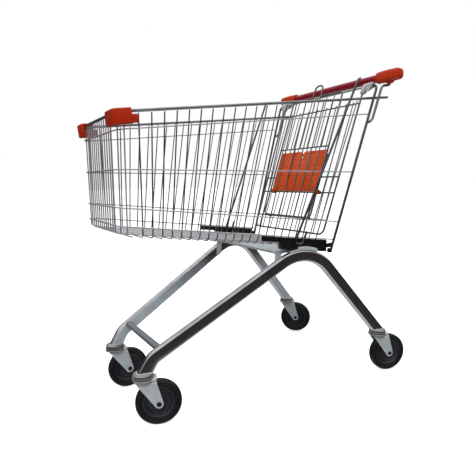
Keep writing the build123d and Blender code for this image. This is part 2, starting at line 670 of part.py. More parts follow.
def main():
    save_pair(leg_tube(), "leg")
    save(crossbar(), "front_crossbar")
    save(bridge(), "cross_member")
    save_pair(saddle(), "leg_saddle")
    save_pair(side_guard(), "side_guard")
    save_pair(side_mesh(), "basket_side")
    save(front_mesh(), "basket_front")
    save(floor_mesh(), "basket_floor")
    save(rim_wire(), "basket_rim")
    save(rear_hoop(), "rear_hoop")
    save_pair(handle_arm(), "handle_arm")
    save_pair(side_strut(), "side_strut")
    save(handle_tube(), "handle_tube")
    save_pair(handle_cap(), "handle_cap")
    screw = handle_screw()
    save(Compound([*screw.solids(), *mirrored(screw).solids()]), "handle_cap_screws")
    save_pair(bumper(), "corner_bumper")
    save(gate_frame(), "gate_panel")
    save_pair(gate_clip(), "gate_hinge_clip")
    save(seat_back(), "child_seat_back")
    save(seat_plate(), "child_seat_plate")
    for name in CASTERS:
        for part, shape in (("caster_top", caster_top()), ("caster_fork", fork()),
                            ("wheel_tyre", tyre()), ("wheel_hub", hub()), ("axle_bolt", axle())):
            save(place_caster(shape, name), f"{name}_{part}")


main()
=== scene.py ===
from math import acos, atan, atan2, ceil, cos, degrees, pi, radians, sin, sqrt, tan

import bmesh
import bpy
import numpy as np
from mathutils import Matrix, Vector


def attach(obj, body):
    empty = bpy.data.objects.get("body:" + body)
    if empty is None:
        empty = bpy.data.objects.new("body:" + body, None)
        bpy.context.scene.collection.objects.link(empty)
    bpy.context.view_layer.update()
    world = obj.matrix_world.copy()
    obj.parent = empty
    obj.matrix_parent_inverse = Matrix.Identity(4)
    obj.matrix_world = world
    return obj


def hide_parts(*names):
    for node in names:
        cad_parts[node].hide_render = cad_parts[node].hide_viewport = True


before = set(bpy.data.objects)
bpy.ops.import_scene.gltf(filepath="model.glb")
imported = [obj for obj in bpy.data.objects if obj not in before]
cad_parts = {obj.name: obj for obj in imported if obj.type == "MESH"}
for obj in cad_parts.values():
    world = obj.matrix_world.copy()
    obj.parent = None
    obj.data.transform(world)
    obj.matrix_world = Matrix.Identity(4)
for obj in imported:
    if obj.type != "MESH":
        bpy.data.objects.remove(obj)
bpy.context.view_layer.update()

# Shopping cart.  Shapes are laid out in millimetres about the rear caster axes, as the frame's
# design is, and come into the scene in metres, ORIGIN_Y further back.

ORIGIN_Y = 376.6

# Basket
FRONT_Y = -836
RIM_FRONT_Z, RIM_SLOPE, RIM_REAR_Y = 811, 0.1151, 21
SIDE_X, SIDE_PER_Y, SIDE_PER_Z = 165.5, 0.0781, 0.0345
MESH_R, RAIL_R, RIM_R, HOOP_R, STRUT_R = 2, 2, 4, 4, 3.5
WIRE_R = 1.75                  # the light wires are drawn this thick
RAIL_OUT, RIM_OUT = 3.2, 1.4
HEAVY_OUT = RAIL_OUT + RAIL_R + HOOP_R + 0.05
STRUT_OUT = RAIL_OUT + RAIL_R + STRUT_R + 0.05
RAIL_BEND = 35
RIM_BEND = RAIL_BEND - (RAIL_OUT - RIM_OUT)
LOW_RAIL = (543, -0.121)       # a rail's height at the nose, and its slope
RAILS = (LOW_RAIL, (588, -0.103), (679, -0.008), (770.5, 0.1056))
RAIL_JOIN_Y = -793.7           # the side rails meet the nose's rails here
SIDE_WIRES = 22
WIRE_TOP_Y, WIRE_TOP_PITCH = -786, 32.45
WIRE_FOOT_Y, WIRE_FOOT_PITCH = -783, 25.6
WIRE_OVERLAP = 0.8             # how far crossing wires are pressed into each other
FLOOR_DROP = 25
FLOOR_BEND = 10
FLOOR_REAR_Y = -190
FLOOR_LIFT = 2 * MESH_R - WIRE_OVERLAP
FRONT_WIRES, FRONT_PITCH, FLOOR_FAN = 12, 20, 1.5
FRONT_X = [FRONT_PITCH * (k - (FRONT_WIRES - 1) / 2) for k in range(FRONT_WIRES)]
CORNER_WIRES, CORNER_WIRE_Z = (radians(30), radians(62)), (522, 806)
SIDE_BEAD, FLOOR_BEAD, GATE_BEAD = (2.5, 1.7), (2.4, 1.6), (2.7, 1.9)
HOOP_Y, HOOP_Z, HOOP_LEAN = -46, 904, 0.3112
HINGE_Z = 944
HINGE_Y = HOOP_Y + (HINGE_Z - HOOP_Z) * HOOP_LEAN
ARM_PLACE = (245, 20)          # where the handle's arms enter the grip ends

# Gate and child seat
GATE_LEAN = radians(18.8)
GATE_UP = np.array((0, sin(GATE_LEAN), cos(GATE_LEAN)))
GATE_FORWARD = np.array((0, -cos(GATE_LEAN), sin(GATE_LEAN)))
GATE_AHEAD = 9                 # the gate's plane is this far in front of the hoop's bar
GATE_ORIGIN = np.array((0, HINGE_Y - GATE_AHEAD, HINGE_Z))
GATE_TOP_S, GATE_BAR_S, GATE_LOW_S = -6, -54, -493
GATE_HALF, GATE_NARROWING = 197, 14
GATE_COLUMNS = [46 * k for k in range(-3, 4)]
GATE_FRAME_R = 3
PIVOT_R, PIVOT_D = 2.5, 3.7
CLIP_R = 9.5
CLIP_EYE = (-GATE_AHEAD * cos(GATE_LEAN), GATE_AHEAD * sin(GATE_LEAN))
SEAT_BACK_S, SEAT_BACK_MIDDLE_S, SEAT_BACK_TOP_S = -447, -200, -10
SEAT_BACK_HALF, SEAT_BACK_D = 125, 18
SEAT_PLATE_S, SEAT_PLATE_HEIGHT, SEAT_PLATE_HALF = -356, 146, 119
SEAT_PLATE_D, SEAT_PLATE_SHEET = 9.5, 3.6

# Casters, each by its swivel's X, Y and angle in degrees, and legs
CASTERS = {
    "front_left": (124.3, -785.6, 19.2),
    "front_right": (-124.3, -785.6, 0),
    "rear_left": (242.6, 0, 17.5),
    "rear_right": (-242.6, 0, 41.7),
}
WHEEL_R, TRAIL = 62.5, 38.7
LEG_DEPTH, LEG_WIDTH, LEG_CORNER_R = 36, 22, 7

# Camera, at the viewing angle of the reference
CAMERA_AT = (1.17375, -0.77528, 0.64779)
CAMERA_YAW, CAMERA_PITCH, CAMERA_ROLL = 57.562, 7.398, -0.660
CAMERA_LENS = 32.558


# ---- mesh making

def put(name, data):
    """A new object in the scene."""
    made = bpy.data.objects.new(name, data)
    bpy.context.scene.collection.objects.link(made)
    return made


class Shape:
    """Collects rings, tubes and lathes, in millimetres, and makes one mesh object of them."""

    def __init__(self):
        self.points, self.faces = [], []

    def add(self, points, faces):
        base = sum(len(p) for p in self.points)
        self.points.append(np.asarray(points, float))
        self.faces += [tuple(base + i for i in face) for face in faces]

    def rings(self, rings, closed=False):
        """Skin a list of rings that have the same number of points, with a cap on each end."""
        count, n = len(rings), len(rings[0])
        faces = []
        for i in range(count if closed else count - 1):
            a, b = i * n, (i + 1) % count * n
            faces += [(a + k, a + (k + 1) % n, b + (k + 1) % n, b + k) for k in range(n)]
        if not closed:
            faces += [tuple(reversed(range(n))), tuple((count - 1) * n + k for k in range(n))]
        self.add(np.concatenate(rings), faces)

    def mirror(self):
        """The same shape on the cart's other side."""
        other = Shape()
        other.points = [p * (-1, 1, 1) for p in self.points]
        other.faces = [tuple(reversed(face)) for face in self.faces]
        return other

    def build(self, name, body, material, replaces="", bevel=0, sharp=35):
        """The finished piece. Edges turned by more than the angle sharp stay creased."""
        points = (np.concatenate(self.points) + (0, ORIGIN_Y, 0)) / 1000
        mesh = bpy.data.meshes.new(name)
        mesh.from_pydata(points.tolist(), [], self.faces)
        mesh.materials.append(material)
        piece = put(name, mesh)
        tidy_normals(mesh)
        if bevel:
            round_edges(piece, bevel / 1000)
        mesh = piece.data
        mesh.shade_smooth()
        mesh.set_sharp_from_angle(angle=radians(sharp))
        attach(piece, body)
        if replaces:
            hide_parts(replaces)
        return piece


def drawn(draw):
    """Make a function that draws into a shape into one that returns the shape."""
    def make(*args):
        shape = Shape()
        draw(shape, *args)
        return shape
    return make


def tidy_normals(mesh):
    work = bmesh.new()
    work.from_mesh(mesh)
    bmesh.ops.remove_doubles(work, verts=work.verts, dist=1e-6)
    bmesh.ops.recalc_face_normals(work, faces=work.faces)
    work.to_mesh(mesh)
    work.free()


def round_edges(piece, width):
    """Apply a bevel to the sharp edges."""
    bevel = piece.modifiers.new("round", "BEVEL")
    bevel.width, bevel.segments = width, 2
    bevel.limit_method, bevel.angle_limit = "ANGLE", radians(32)
    bevel.use_clamp_overlap = True
    graph = bpy.context.evaluated_depsgraph_get()
    mesh = bpy.data.meshes.new_from_object(piece.evaluated_get(graph))
    piece.modifiers.clear()
    piece.data = mesh


def unit(v):
    v = np.asarray(v, float)
    return v / np.linalg.norm(v)


def bent_path(points, bends, step=12):
    """Centre line of a bent wire: straight runs joined by arcs."""
    points = [np.asarray(p, float) for p in points]
    if not hasattr(bends, "__len__"):
        bends = [bends] * (len(points) - 2)
    path = [points[0]]
    for before, corner, after, bend in zip(points, points[1:], points[2:], bends):
        back, on = unit(before - corner), unit(after - corner)
        half = acos(max(-1, min(1, back @ on))) / 2
        centre = corner + unit(back + on) * bend / sin(half)
        start = corner + back * bend / tan(half) - centre
        end = corner + on * bend / tan(half) - centre
        turn = pi - 2 * half
        across = unit(end - start * cos(turn)) * bend
        steps = max(2, ceil(degrees(turn) / step))
        path += [centre + start * cos(turn * k / steps) + across * sin(turn * k / steps)
                 for k in range(steps + 1)]
    return path + [points[-1]]


def circle(radius, sides=12):
    return [(radius * cos(2 * pi * k / sides), radius * sin(2 * pi * k / sides))
            for k in range(sides)]


def rounded_box(width, height, radius, steps=5):
    outline = []
    for k, (x, y) in enumerate(((1, 1), (-1, 1), (-1, -1), (1, -1))):
        for i in range(steps + 1):
            a = pi / 2 * (k + i / steps)
            outline.append((x * (width / 2 - radius) + radius * cos(a),
                            y * (height / 2 - radius) + radius * sin(a)))
    return outline


def swept_rings(path, section, side=None, closed=False):
    """Rings of a section carried along a path; side is the section's first axis at the start."""
    path = np.array(path)
    if closed:
        ahead, behind = np.roll(path, -1, 0), np.roll(path, 1, 0)
    else:
        ahead = np.vstack([path[1:], path[-1:]])
        behind = np.vstack([path[:1], path[:-1]])
    rings, u = [], None
    for point, before, after in zip(path, behind, ahead):
        along = unit(after - before)
        if u is None:
            u = np.array(side) if side is not None else np.cross(along, (0.31, 0.52, 0.79))
        u = unit(u - along * (u @ along))
        v = np.cross(along, u)
        rings.append(np.array([point + u * a + v * b for a, b in section]))
    return rings


def sweep(shape, path, section, side=None, closed=False):
    shape.rings(swept_rings(path, section, side, closed), closed)


WIRE_TIP_WIDTH, WIRE_TIP_LENGTH = 0.7, 0.35     # as shares of the radius


def wire(shape, points, radius, bends=0, sides=12):
    """A wire with slightly rounded ends."""
    path = bent_path(points, bends)
    rings = swept_rings(path, circle(radius, sides))
    for end, inner in ((0, 1), (-1, -2)):
        along = unit(path[end] - path[inner])
        middle = rings[end].mean(0)
        tip = middle + (rings[end] - middle) * WIRE_TIP_WIDTH
        rings[end] = rings[end] - along * radius * WIRE_TIP_LENGTH
        rings.insert(0 if end == 0 else len(rings), tip)
    shape.rings(rings)


def weld_bead(shape, at, normal, radius, height):
    """The small lens of metal that a spot weld squeezes out where two wires cross."""
    normal = unit(normal)
    u = unit(np.cross(normal, (0.3, 0.5, 0.8)))
    v = np.cross(normal, u)
    rings = []
    for a in (-1, -0.75, -0.3, 0.3, 0.75, 1):
        r = radius * sqrt(max(0.04, 1 - a * a))
        rings.append([at + normal * height * a + (u * x + v * y) * r for x, y in circle(1, 8)])
    shape.rings(rings)


def lathe(shape, profile, centre, axis, sides=64, closed=False):
    """Turn (radius, distance along the axis) points round an axis."""
    axis = unit(axis)
    u = unit(np.cross(axis, (0, 0, 1) if abs(axis[2]) < 0.9 else (1, 0, 0)))
    v = np.cross(axis, u)
    shape.rings([[centre + axis * along + (u * x + v * y) * radius
                  for x, y in circle(1, sides)] for radius, along in profile], closed)


def both_ends(profile):
    """A lathe's profile and its mirror image, from one half that ends at the tip."""
    return [(r, -x) for r, x in reversed(profile)] + profile


def arc(centre, radius, start, end, steps=12):
    """Points on an arc, by its start and end angles in degrees."""
    angles = [radians(start + (end - start) * k / steps) for k in range(steps + 1)]
    return [(centre[0] + radius * cos(a), centre[1] + radius * sin(a)) for a in angles]


def tangent_angle(corner, centre, radius, flip):
    """Angle, in degrees, at which a line from a corner touches a circle on one side."""
    x, y = corner[0] - centre[0], corner[1] - centre[1]
    return degrees(atan2(y, x) + flip * acos(radius / sqrt(x * x + y * y)))


def slab(shape, outline, origin, x_dir, y_dir, depth, holes=()):
    """A flat outline, with any holes, made into a plate that grows along x_dir cross y_dir."""
    work = bmesh.new()
    walls = []
    for loop in (outline, *holes):
        base, count = len(work.verts), len(loop)
        points = [work.verts.new((a, b, 0)) for a, b in loop]
        for k in range(count):
            work.edges.new((points[k], points[(k + 1) % count]))
            walls.append((base + k, base + (k + 1) % count))
    bmesh.ops.triangle_fill(work, use_beauty=True, edges=work.edges)
    work.verts.index_update()
    flat = [tuple(v.co)[:2] for v in work.verts]
    triangles = [[v.index for v in face.verts] for face in work.faces]
    work.free()
    x_dir, y_dir = unit(x_dir), unit(y_dir)
    low = np.array([np.asarray(origin) + x_dir * a + y_dir * b for a, b in flat])
    high = low + np.cross(x_dir, y_dir) * depth
    n = len(flat)
    faces = [tuple(reversed(t)) for t in triangles] + [tuple(n + i for i in t) for t in triangles]
    faces += [(a, b, n + b, n + a) for a, b in walls]
    shape.add(np.concatenate([low, high]), faces)


# ---- materials

def fill_ramp(ramp, stops):
    elements = ramp.color_ramp.elements
    while len(elements) < len(stops):
        elements.new(0.5)
    for element, (at, colour) in zip(elements, stops):
        element.position = at
        element.color = (*colour, 1) if hasattr(colour, "__len__") else (colour,) * 3 + (1,)


class Nodes:
    """Short names for building a node tree."""

    def __init__(self, tree):
        self.tree = tree

    def node(self, kind, **values):
        made = self.tree.nodes.new(kind)
        for name, value in values.items():
            if name in made.inputs:
                made.inputs[name].default_value = value
            else:
                setattr(made, name, value)
        return made

    def link(self, a, b):
        self.tree.links.new(a, b)

    def ramp(self, factor, *stops):
        """A colour ramp; a stop is its place and its colour, or its grey."""
        ramp = self.node("ShaderNodeValToRGB")
        fill_ramp(ramp, stops)
        self.link(factor, ramp.inputs["Fac"])
        return ramp.outputs["Color"]

    def ramp_between(self, value, start, end):
        """0 where the value is at start, 1 where it is at end."""
        ramp = self.node("ShaderNodeMapRange", **{"From Min": start, "From Max": end})
        self.link(value, ramp.inputs["Value"])
        return ramp.outputs["Result"]

    def split(self, vector):
        parts = self.node("ShaderNodeSeparateXYZ")
        self.link(vector, parts.inputs[0])
        return parts.outputs

    def math(self, operation, *values):
        made = self.node("ShaderNodeMath", operation=operation)
        for value, socket in zip(values, made.inputs):
            self.link(value, socket)
        return made.outputs[0]

    def mix(self, kind, factor, a, b):
        """Mix of two outputs or values, by an output or a value."""
        mix = self.node("ShaderNodeMix", data_type=kind)
        start = {"FLOAT": 2, "RGBA": 6}[kind]
        for value, index in ((factor, 0), (a, start), (b, start + 1)):
            if isinstance(value, float):
                mix.inputs[index].default_value = value
            else:
                self.link(value, mix.inputs[index])
        return mix.outputs[0 if kind == "FLOAT" else 2]


class Finish(Nodes):
    """A procedural material."""

    def __init__(self, name, slot=None):
        self.material = bpy.data.materials.new(name)
        self.material.use_nodes = True
        super().__init__(self.material.node_tree)
        self.shader = self.tree.nodes["Principled BSDF"]
        coordinates = self.node("ShaderNodeTexCoord").outputs
        self.place, self.normal = coordinates["Object"], coordinates["Normal"]

    def noise(self, scale, detail):
        noise = self.node("ShaderNodeTexNoise", Scale=scale, Detail=detail)
        self.link(self.place, noise.inputs["Vector"])
        return noise.outputs["Fac"]

    def cells(self, scale):
        cells = self.node("ShaderNodeTexVoronoi", Scale=scale)
        self.link(self.place, cells.inputs["Vector"])
        return cells.outputs["Color"]

    def set(self, **values):
        for name, value in values.items():
            self.shader.inputs[name.replace("_", " ")].default_value = value

    def bump(self, height, strength, distance):
        bump = self.node("ShaderNodeBump", Strength=strength, Distance=distance)
        self.link(height, bump.inputs["Height"])
        self.link(bump.outputs[0], self.shader.inputs["Normal"])

    def colour(self, output):
        self.link(output, self.shader.inputs["Base Color"])

    def roughness(self, output):
        self.link(output, self.shader.inputs["Roughness"])


def plating(n, dark, light, rough):
    """Cloudy colour and roughness of a plated surface, with fine handling scratches."""
    n.bump(n.noise(400, 3), 0.03, 0.0003)
    return (n.ramp(n.noise(22, 6), (0.35, dark), (0.65, light)),
            n.ramp(n.noise(70, 5), (0.3, rough[0]), (0.75, rough[1])))


def plated_metal(name, dark, light, rough, metallic=1, slot=None):
    """Bright plating with cloudy tarnish."""
    n = Finish(name, slot)
    n.set(Metallic=metallic)
    colour, roughness = plating(n, dark, light, rough)
    n.colour(colour)
    n.roughness(roughness)
    return n.material


def leg_chrome_painted_reflection(name, dark, light, rough):
    """Bright plating, with a painted reflection of the floor on the legs' inner faces low down:
    there it is drawn a lighter blue-grey, less metallic and rougher.
    """
    n = Finish(name)
    place = n.split(n.place)
    facing = n.split(n.normal)["X"]
    inward = n.math("MULTIPLY", n.math("SIGN", place["X"]), facing)
    # Painted reflection: a mask of the inner faces below a set height, where the colour turns a
    # lighter blue-grey, the metal drops to 0.15 and the roughness rises to 0.4.
    painted_reflection_mask = n.math("MULTIPLY", n.ramp_between(inward, -0.82, -0.95),
                  n.ramp_between(place["Z"], 0.39, 0.29))
    bright, gloss = plating(n, dark, light, rough)
    painted_reflection_colour = n.ramp(n.noise(22, 6), (0.35, (0.60, 0.70, 0.74)), (0.65, (0.74, 0.83, 0.87)))
    n.colour(n.mix("RGBA", painted_reflection_mask, bright, painted_reflection_colour))
    n.link(n.ramp(painted_reflection_mask, (0, 1), (1, 0.15)), n.shader.inputs["Metallic"])
    n.roughness(n.mix("FLOAT", painted_reflection_mask, gloss, 0.4))
    return n.material


def galvanised(name, dark, light):
    """Zinc coated sheet with a faint spangle."""
    n = Finish(name, "galvanised")
    n.set(Metallic=0.25)
    cloud = n.mix("FLOAT", 0.35, n.noise(45, 5), n.cells(160))
    n.colour(n.ramp(cloud, (0.3, dark), (0.7, light)))
    n.roughness(n.ramp(n.noise(120, 4), (0.3, 0.38), (0.7, 0.55)))
    n.bump(n.noise(500, 4), 0.12, 0.0005)
    return n.material


def moulded(name, dark, light, rough=(0.32, 0.48), coat=0):
    """Injection moulded plastic: slightly uneven colour and a fine grain."""
    n = Finish(name)
    n.colour(n.ramp(n.noise(18, 5), (0.3, dark), (0.7, light)))
    n.roughness(n.ramp(n.noise(60, 4), (0.3, rough[0]), (0.7, rough[1])))
    n.bump(n.noise(1400, 2), 0.15, 0.0003)
    n.set(Coat_Weight=coat, Coat_Roughness=0.2, Specular_IOR_Level=0.3)
    return n.material


def rubber(name):
    """Black rubber with dust that clings in patches."""
    n = Finish(name)
    n.colour(n.ramp(n.noise(60, 7), (0.42, 0.004), (0.6, 0.007), (0.8, 0.016)))
    n.roughness(n.ramp(n.noise(200, 3), (0.3, 0.42), (0.7, 0.62)))
    n.bump(n.noise(1200, 3), 0.25, 0.0004)
    return n.material


def floor_material():
    n = Finish("studio_floor")
    n.colour(n.ramp(n.noise(0.6, 2), (0, 0.86), (1, 0.89)))
    n.set(Roughness=0.9, Emission_Color=(1, 1, 1, 1), Emission_Strength=0.62)
    return n.material


chrome_wire = plated_metal("chrome_wire", (0.30, 0.31, 0.31), (0.42, 0.43, 0.43), (0.24, 0.36))
chrome_tube = leg_chrome_painted_reflection("chrome_tube", (0.50, 0.51, 0.52), (0.64, 0.65, 0.66), (0.07, 0.14))
# Painted reflection: a darker copy of the wire plating for the hoop's sides and the struts,
# standing in for dark surroundings mirrored in them.
chrome_painted_dark = plated_metal("chrome_painted_dark", 0.12, 0.19, (0.22, 0.34), slot="chrome_wire")
# Painted reflection: a darker copy of the wire plating for the gate and the seat back, standing in
# for the darker surroundings they mirror.
chrome_gate_painted_dark = plated_metal("chrome_gate_painted_dark", 0.18, 0.27, (0.24, 0.36), slot="chrome_wire")
# Painted reflection: a paler, less metallic copy of the wire plating for the nose, the floor, the
# side rails and the hoop's top bar, standing in for the bright overhead they mirror.
chrome_painted_bright = plated_metal("chrome_painted_bright", (0.54, 0.55, 0.56), (0.68, 0.69, 0.70), (0.24, 0.36),
                           0.6, "chrome_wire")
zinc_sheet = galvanised("galvanised", (0.62, 0.70, 0.71), (0.80, 0.87, 0.87))
# Painted shade: a darker copy of the galvanised finish, with the same roughness, for the crossbar
# under the basket.
zinc_painted_shade = galvanised("galvanised_painted_shade", (0.15, 0.17, 0.18), (0.23, 0.26, 0.27))
bolt_steel = plated_metal("bolt_steel", (0.34, 0.33, 0.31), (0.52, 0.51, 0.48), (0.28, 0.42), 0.8)
# Painted shade: a darker copy of the bolt steel over the whole axle, standing in for the dark
# hollow of its dished head.
axle_steel_painted_shade = plated_metal("axle_steel_painted_shade", 0.06, 0.14, (0.2, 0.4), slot="bolt_steel")
black_plastic = moulded("black_plastic", 0.006, 0.011, (0.35, 0.55))
grey_plastic = moulded("grey_plastic", 0.48, 0.60, (0.35, 0.5))
handle_red = moulded("handle_red", (0.27, 0.003, 0.014), (0.34, 0.006, 0.022), (0.28, 0.4), 0.15)
cap_orange = moulded("cap_orange", (0.60, 0.036, 0.004), (0.70, 0.05, 0.007))
bumper_red = moulded("bumper_red", (0.50, 0.024, 0.003), (0.60, 0.036, 0.005))
seat_orange = moulded("seat_orange", (0.70, 0.078, 0.003), (0.78, 0.096, 0.005))
tyre_black = rubber("tyre_black")
hub_grey = moulded("hub_grey", (0.026, 0.027, 0.033), (0.044, 0.046, 0.056), (0.3, 0.45))

FRAME = "cart_frame"


# ---- basket

SIDE_NORMAL = unit((1, -SIDE_PER_Y, -SIDE_PER_Z))


def rim_z(y):
    return RIM_FRONT_Z + RIM_SLOPE * (y - FRONT_Y)


def rail_z(rail, y):
    return rail[0] + rail[1] * (y - FRONT_Y)


def floor_z(y):
    return rail_z(LOW_RAIL, y) - FLOOR_DROP


def side(y, z, out=0):
    """A point on the left side panel, or out from it along its normal."""
    x = SIDE_X + SIDE_PER_Y * (y - FRONT_Y) + SIDE_PER_Z * (z - RIM_FRONT_Z)
    return np.array((x, y, z)) + SIDE_NORMAL * out


def side_line(out, *places):
    """Points on the left side panel by their Y and Z, all as far out from it."""
    return [side(y, z, out) for y, z in places]


def hoop_y(z):
    return HOOP_Y + (z - HOOP_Z) * HOOP_LEAN


def flipped(points):
    return [np.asarray(p) * (-1, 1, 1) for p in points]


def there_and_back(line):
    """A line that ends on the cart's left, carried on to its mirror image."""
    return line + flipped(reversed(line))


def side_wire_ends(index):
    """Where an upright wire meets the rim and the floor."""
    top, low = WIRE_TOP_Y + WIRE_TOP_PITCH * index, WIRE_FOOT_Y + WIRE_FOOT_PITCH * index
    foot = low + (low - top) * FLOOR_DROP / (rim_z(top) - rail_z(LOW_RAIL, low))
    return side(top, rim_z(top) - RIM_R - 1), side(foot, floor_z(foot))


def basket_side():
    """The side's upright wires, and the rails welded across them."""
    uprights, rails = Shape(), Shape()
    ends = [side_wire_ends(i) for i in range(SIDE_WIRES)]
    for top, foot in ends:
        wire(uprights, [top, foot, foot - (FLOOR_BEND + 3, 0, 0)], WIRE_R, FLOOR_BEND)
    for rail in RAILS:
        rear = hoop_y(rail_z(rail, -150)) + 3
        line = side_line(RAIL_OUT, *((y, rail_z(rail, y)) for y in (RAIL_JOIN_Y, rear)))
        wire(rails, line, WIRE_R)
        for top, foot in ends:
            weld_bead(rails, crossing(top, foot, rail) + SIDE_NORMAL * RAIL_OUT / 2, SIDE_NORMAL,
                      *SIDE_BEAD)
    return uprights, rails


def crossing(top, foot, rail):
    """Where an upright crosses a rail."""
    slope = (foot - top) / (foot[2] - top[2])
    at = foot
    for _ in range(2):
        at = top + slope * (rail_z(rail, at[1]) - top[2])
    return at


@drawn
def basket_front(shape):
    """The nose: upright wires that turn in under the floor, two more in the bend of each corner,
    and rails that run round both corners."""
    run_y = FRONT_Y + FLOOR_BEND + 3
    for x in FRONT_X:
        foot, end = ((x, y, floor_z(y) + FLOOR_LIFT) for y in (FRONT_Y, run_y))
        wire(shape, [(x, FRONT_Y, RIM_FRONT_Z - RIM_R), foot, end], WIRE_R, FLOOR_BEND)
        for z, _ in RAILS:
            weld_bead(shape, (x, FRONT_Y - RAIL_OUT / 2, z), (0, 1, 0), *SIDE_BEAD)
    bend = RAIL_BEND - RAIL_OUT
    inset = bend * (sqrt(1 + SIDE_PER_Y ** 2) - SIDE_PER_Y)
    for flip in (1, -1):
        for angle in CORNER_WIRES:
            ends = [(flip * (side(FRONT_Y, z)[0] - inset + bend * cos(angle)),
                     FRONT_Y + bend * (1 - sin(angle)), z) for z in CORNER_WIRE_Z]
            wire(shape, ends, WIRE_R)
    start_y = RAIL_JOIN_Y - 0.3
    for rail in RAILS:
        line = side_line(RAIL_OUT, (start_y, rail_z(rail, start_y)),
                         (FRONT_Y - RAIL_OUT, rail[0]))
        wire(shape, there_and_back(line), WIRE_R, RAIL_BEND)


@drawn
def basket_floor(shape):
    """Cross wires between the feet of the uprights, and long wires that fan out to the rear."""
    feet = [side_wire_ends(i)[1][1] for i in range(SIDE_WIRES)]
    rows = [(y, FLOOR_BEND + 3) for y in feet]
    rows += [(y, 3) for y in (feet[0] - WIRE_FOOT_PITCH, feet[-1] + WIRE_FOOT_PITCH,
                              FLOOR_REAR_Y - 3)]
    start_y = FRONT_Y + FLOOR_BEND + 3.6
    for y, margin in rows:
        half = side(y, floor_z(y))[0] - margin
        wire(shape, [(-half, y, floor_z(y)), (half, y, floor_z(y))], WIRE_R)
        share = (y - start_y) / (FLOOR_REAR_Y - start_y)
        for x in FRONT_X:
            at = (x * (1 + (FLOOR_FAN - 1) * share), y, floor_z(y) + FLOOR_LIFT / 2)
            weld_bead(shape, at, (0, 0, 1), *FLOOR_BEAD)
    for x in FRONT_X:
        wire(shape, [(x, start_y, floor_z(start_y) + FLOOR_LIFT),
                     (x * FLOOR_FAN, FLOOR_REAR_Y, floor_z(FLOOR_REAR_Y) + FLOOR_LIFT)], WIRE_R)


@drawn
def rim(shape):
    line = side_line(RIM_OUT, *((y, rim_z(y)) for y in (RIM_REAR_Y, FRONT_Y - RIM_OUT)))
    wire(shape, there_and_back(line), RIM_R, RIM_BEND, 16)


def rear_hoop():
    """The hoop's two upright sides, and the bar across its top that the gate hangs on."""
    sides, bar = Shape(), Shape()
    corner = side(HINGE_Y, HINGE_Z, HEAVY_OUT)
    corner[1:] = HINGE_Y, HINGE_Z
    join = corner - (24, 0, 0)
    foot = side_line(HEAVY_OUT, (hoop_y(438) - 12, 430), (hoop_y(436), 433))
    line = foot + [corner, join - (3, 0, 0)]
    for points in (line, flipped(line)):
        wire(sides, points, HOOP_R, [6, 18], 16)
    wire(bar, there_and_back([join]), HOOP_R, 0, 16)
    return sides, bar


@drawn
def handle_arm(shape):
    """The wire that comes down from the grip end and is welded to the hoop and the rim."""
    socket = [(*ARM_PLACE, 966), (*ARM_PLACE, 947)]
    foot = side_line(HEAVY_OUT, (-14, 940), (-47, 838), (-62, 825.4))
    wire(shape, socket + foot, HOOP_R, [8, 16, 14], 16)


@drawn
def side_strut(shape):
    """The slanting wire across the side, with a hook at its foot."""
    line = side_line(STRUT_OUT, (-99, 956), (-113, 950), (-331, 464),
                     (-302, 460), (-287, 497))
    line[0] = line[0] - (6, 0, 0)
    wire(shape, line, STRUT_R, [6, 11, 11], 16)


def build_both(shape, name, body, material, node="", *options):
    """The left piece and its mirror image on the right, each in place of its CAD node, if any."""
    for hand, half in (("left_", shape), ("right_", shape.mirror())):
        half.build(hand + name, body, material, node and hand + node, *options)


def build_basket():
    uprights, rails = basket_side()
    build_both(uprights, "side_mesh", FRAME, chrome_wire, "basket_side")
    build_both(rails, "side_rails", FRAME, chrome_painted_bright)
    basket_front().build("front_mesh", FRAME, chrome_painted_bright, "basket_front")
    basket_floor().build("floor_mesh", FRAME, chrome_painted_bright, "basket_floor")
    rim().build("rim_wire", FRAME, chrome_wire, "basket_rim")
    hoop_sides, hoop_bar = rear_hoop()
    hoop_sides.build("rear_hoop_wire", FRAME, chrome_painted_dark, "rear_hoop")
    hoop_bar.build("rear_hoop_bar", FRAME, chrome_painted_bright)
    build_both(handle_arm(), "arm_wire", FRAME, chrome_wire, "handle_arm")
    build_both(side_strut(), "strut_wire", FRAME, chrome_painted_dark, "side_strut")


# ---- gate and child seat

def on_gate(x, s, d=0):
    """A point by its X, its distance up the gate and its distance in front of it."""
    return GATE_ORIGIN + (x, 0, 0) + GATE_UP * s + GATE_FORWARD * d


def gate_half(s):
    """Half the gate's width: it narrows downwards."""
    return GATE_HALF - GATE_NARROWING * s / GATE_LOW_S


def gate_bar(shape, s, half, d):
    wire(shape, [on_gate(-half, s, d), on_gate(half, s, d)], PIVOT_R)


@drawn
def gate(shape):
    line = [on_gate(gate_half(s), s) for s in (GATE_TOP_S, GATE_LOW_S)]
    wire(shape, there_and_back(line), GATE_FRAME_R, 20, 16)
    for s, d in ((GATE_BAR_S, -PIVOT_D), (-300, -PIVOT_D), (SEAT_BACK_S, PIVOT_D),
                 (SEAT_PLATE_S, PIVOT_D)):
        gate_bar(shape, s, gate_half(s), d)
        for x in GATE_COLUMNS:
            weld_bead(shape, on_gate(x, s, d * 0.5), GATE_FORWARD, *GATE_BEAD)
    edge = 168
    for x, foot in [(x, x) for x in GATE_COLUMNS] + [(x, x * 0.95) for x in (-edge, edge)]:
        wire(shape, [on_gate(x, GATE_BAR_S + 6), on_gate(foot, GATE_LOW_S + 1)], WIRE_R)


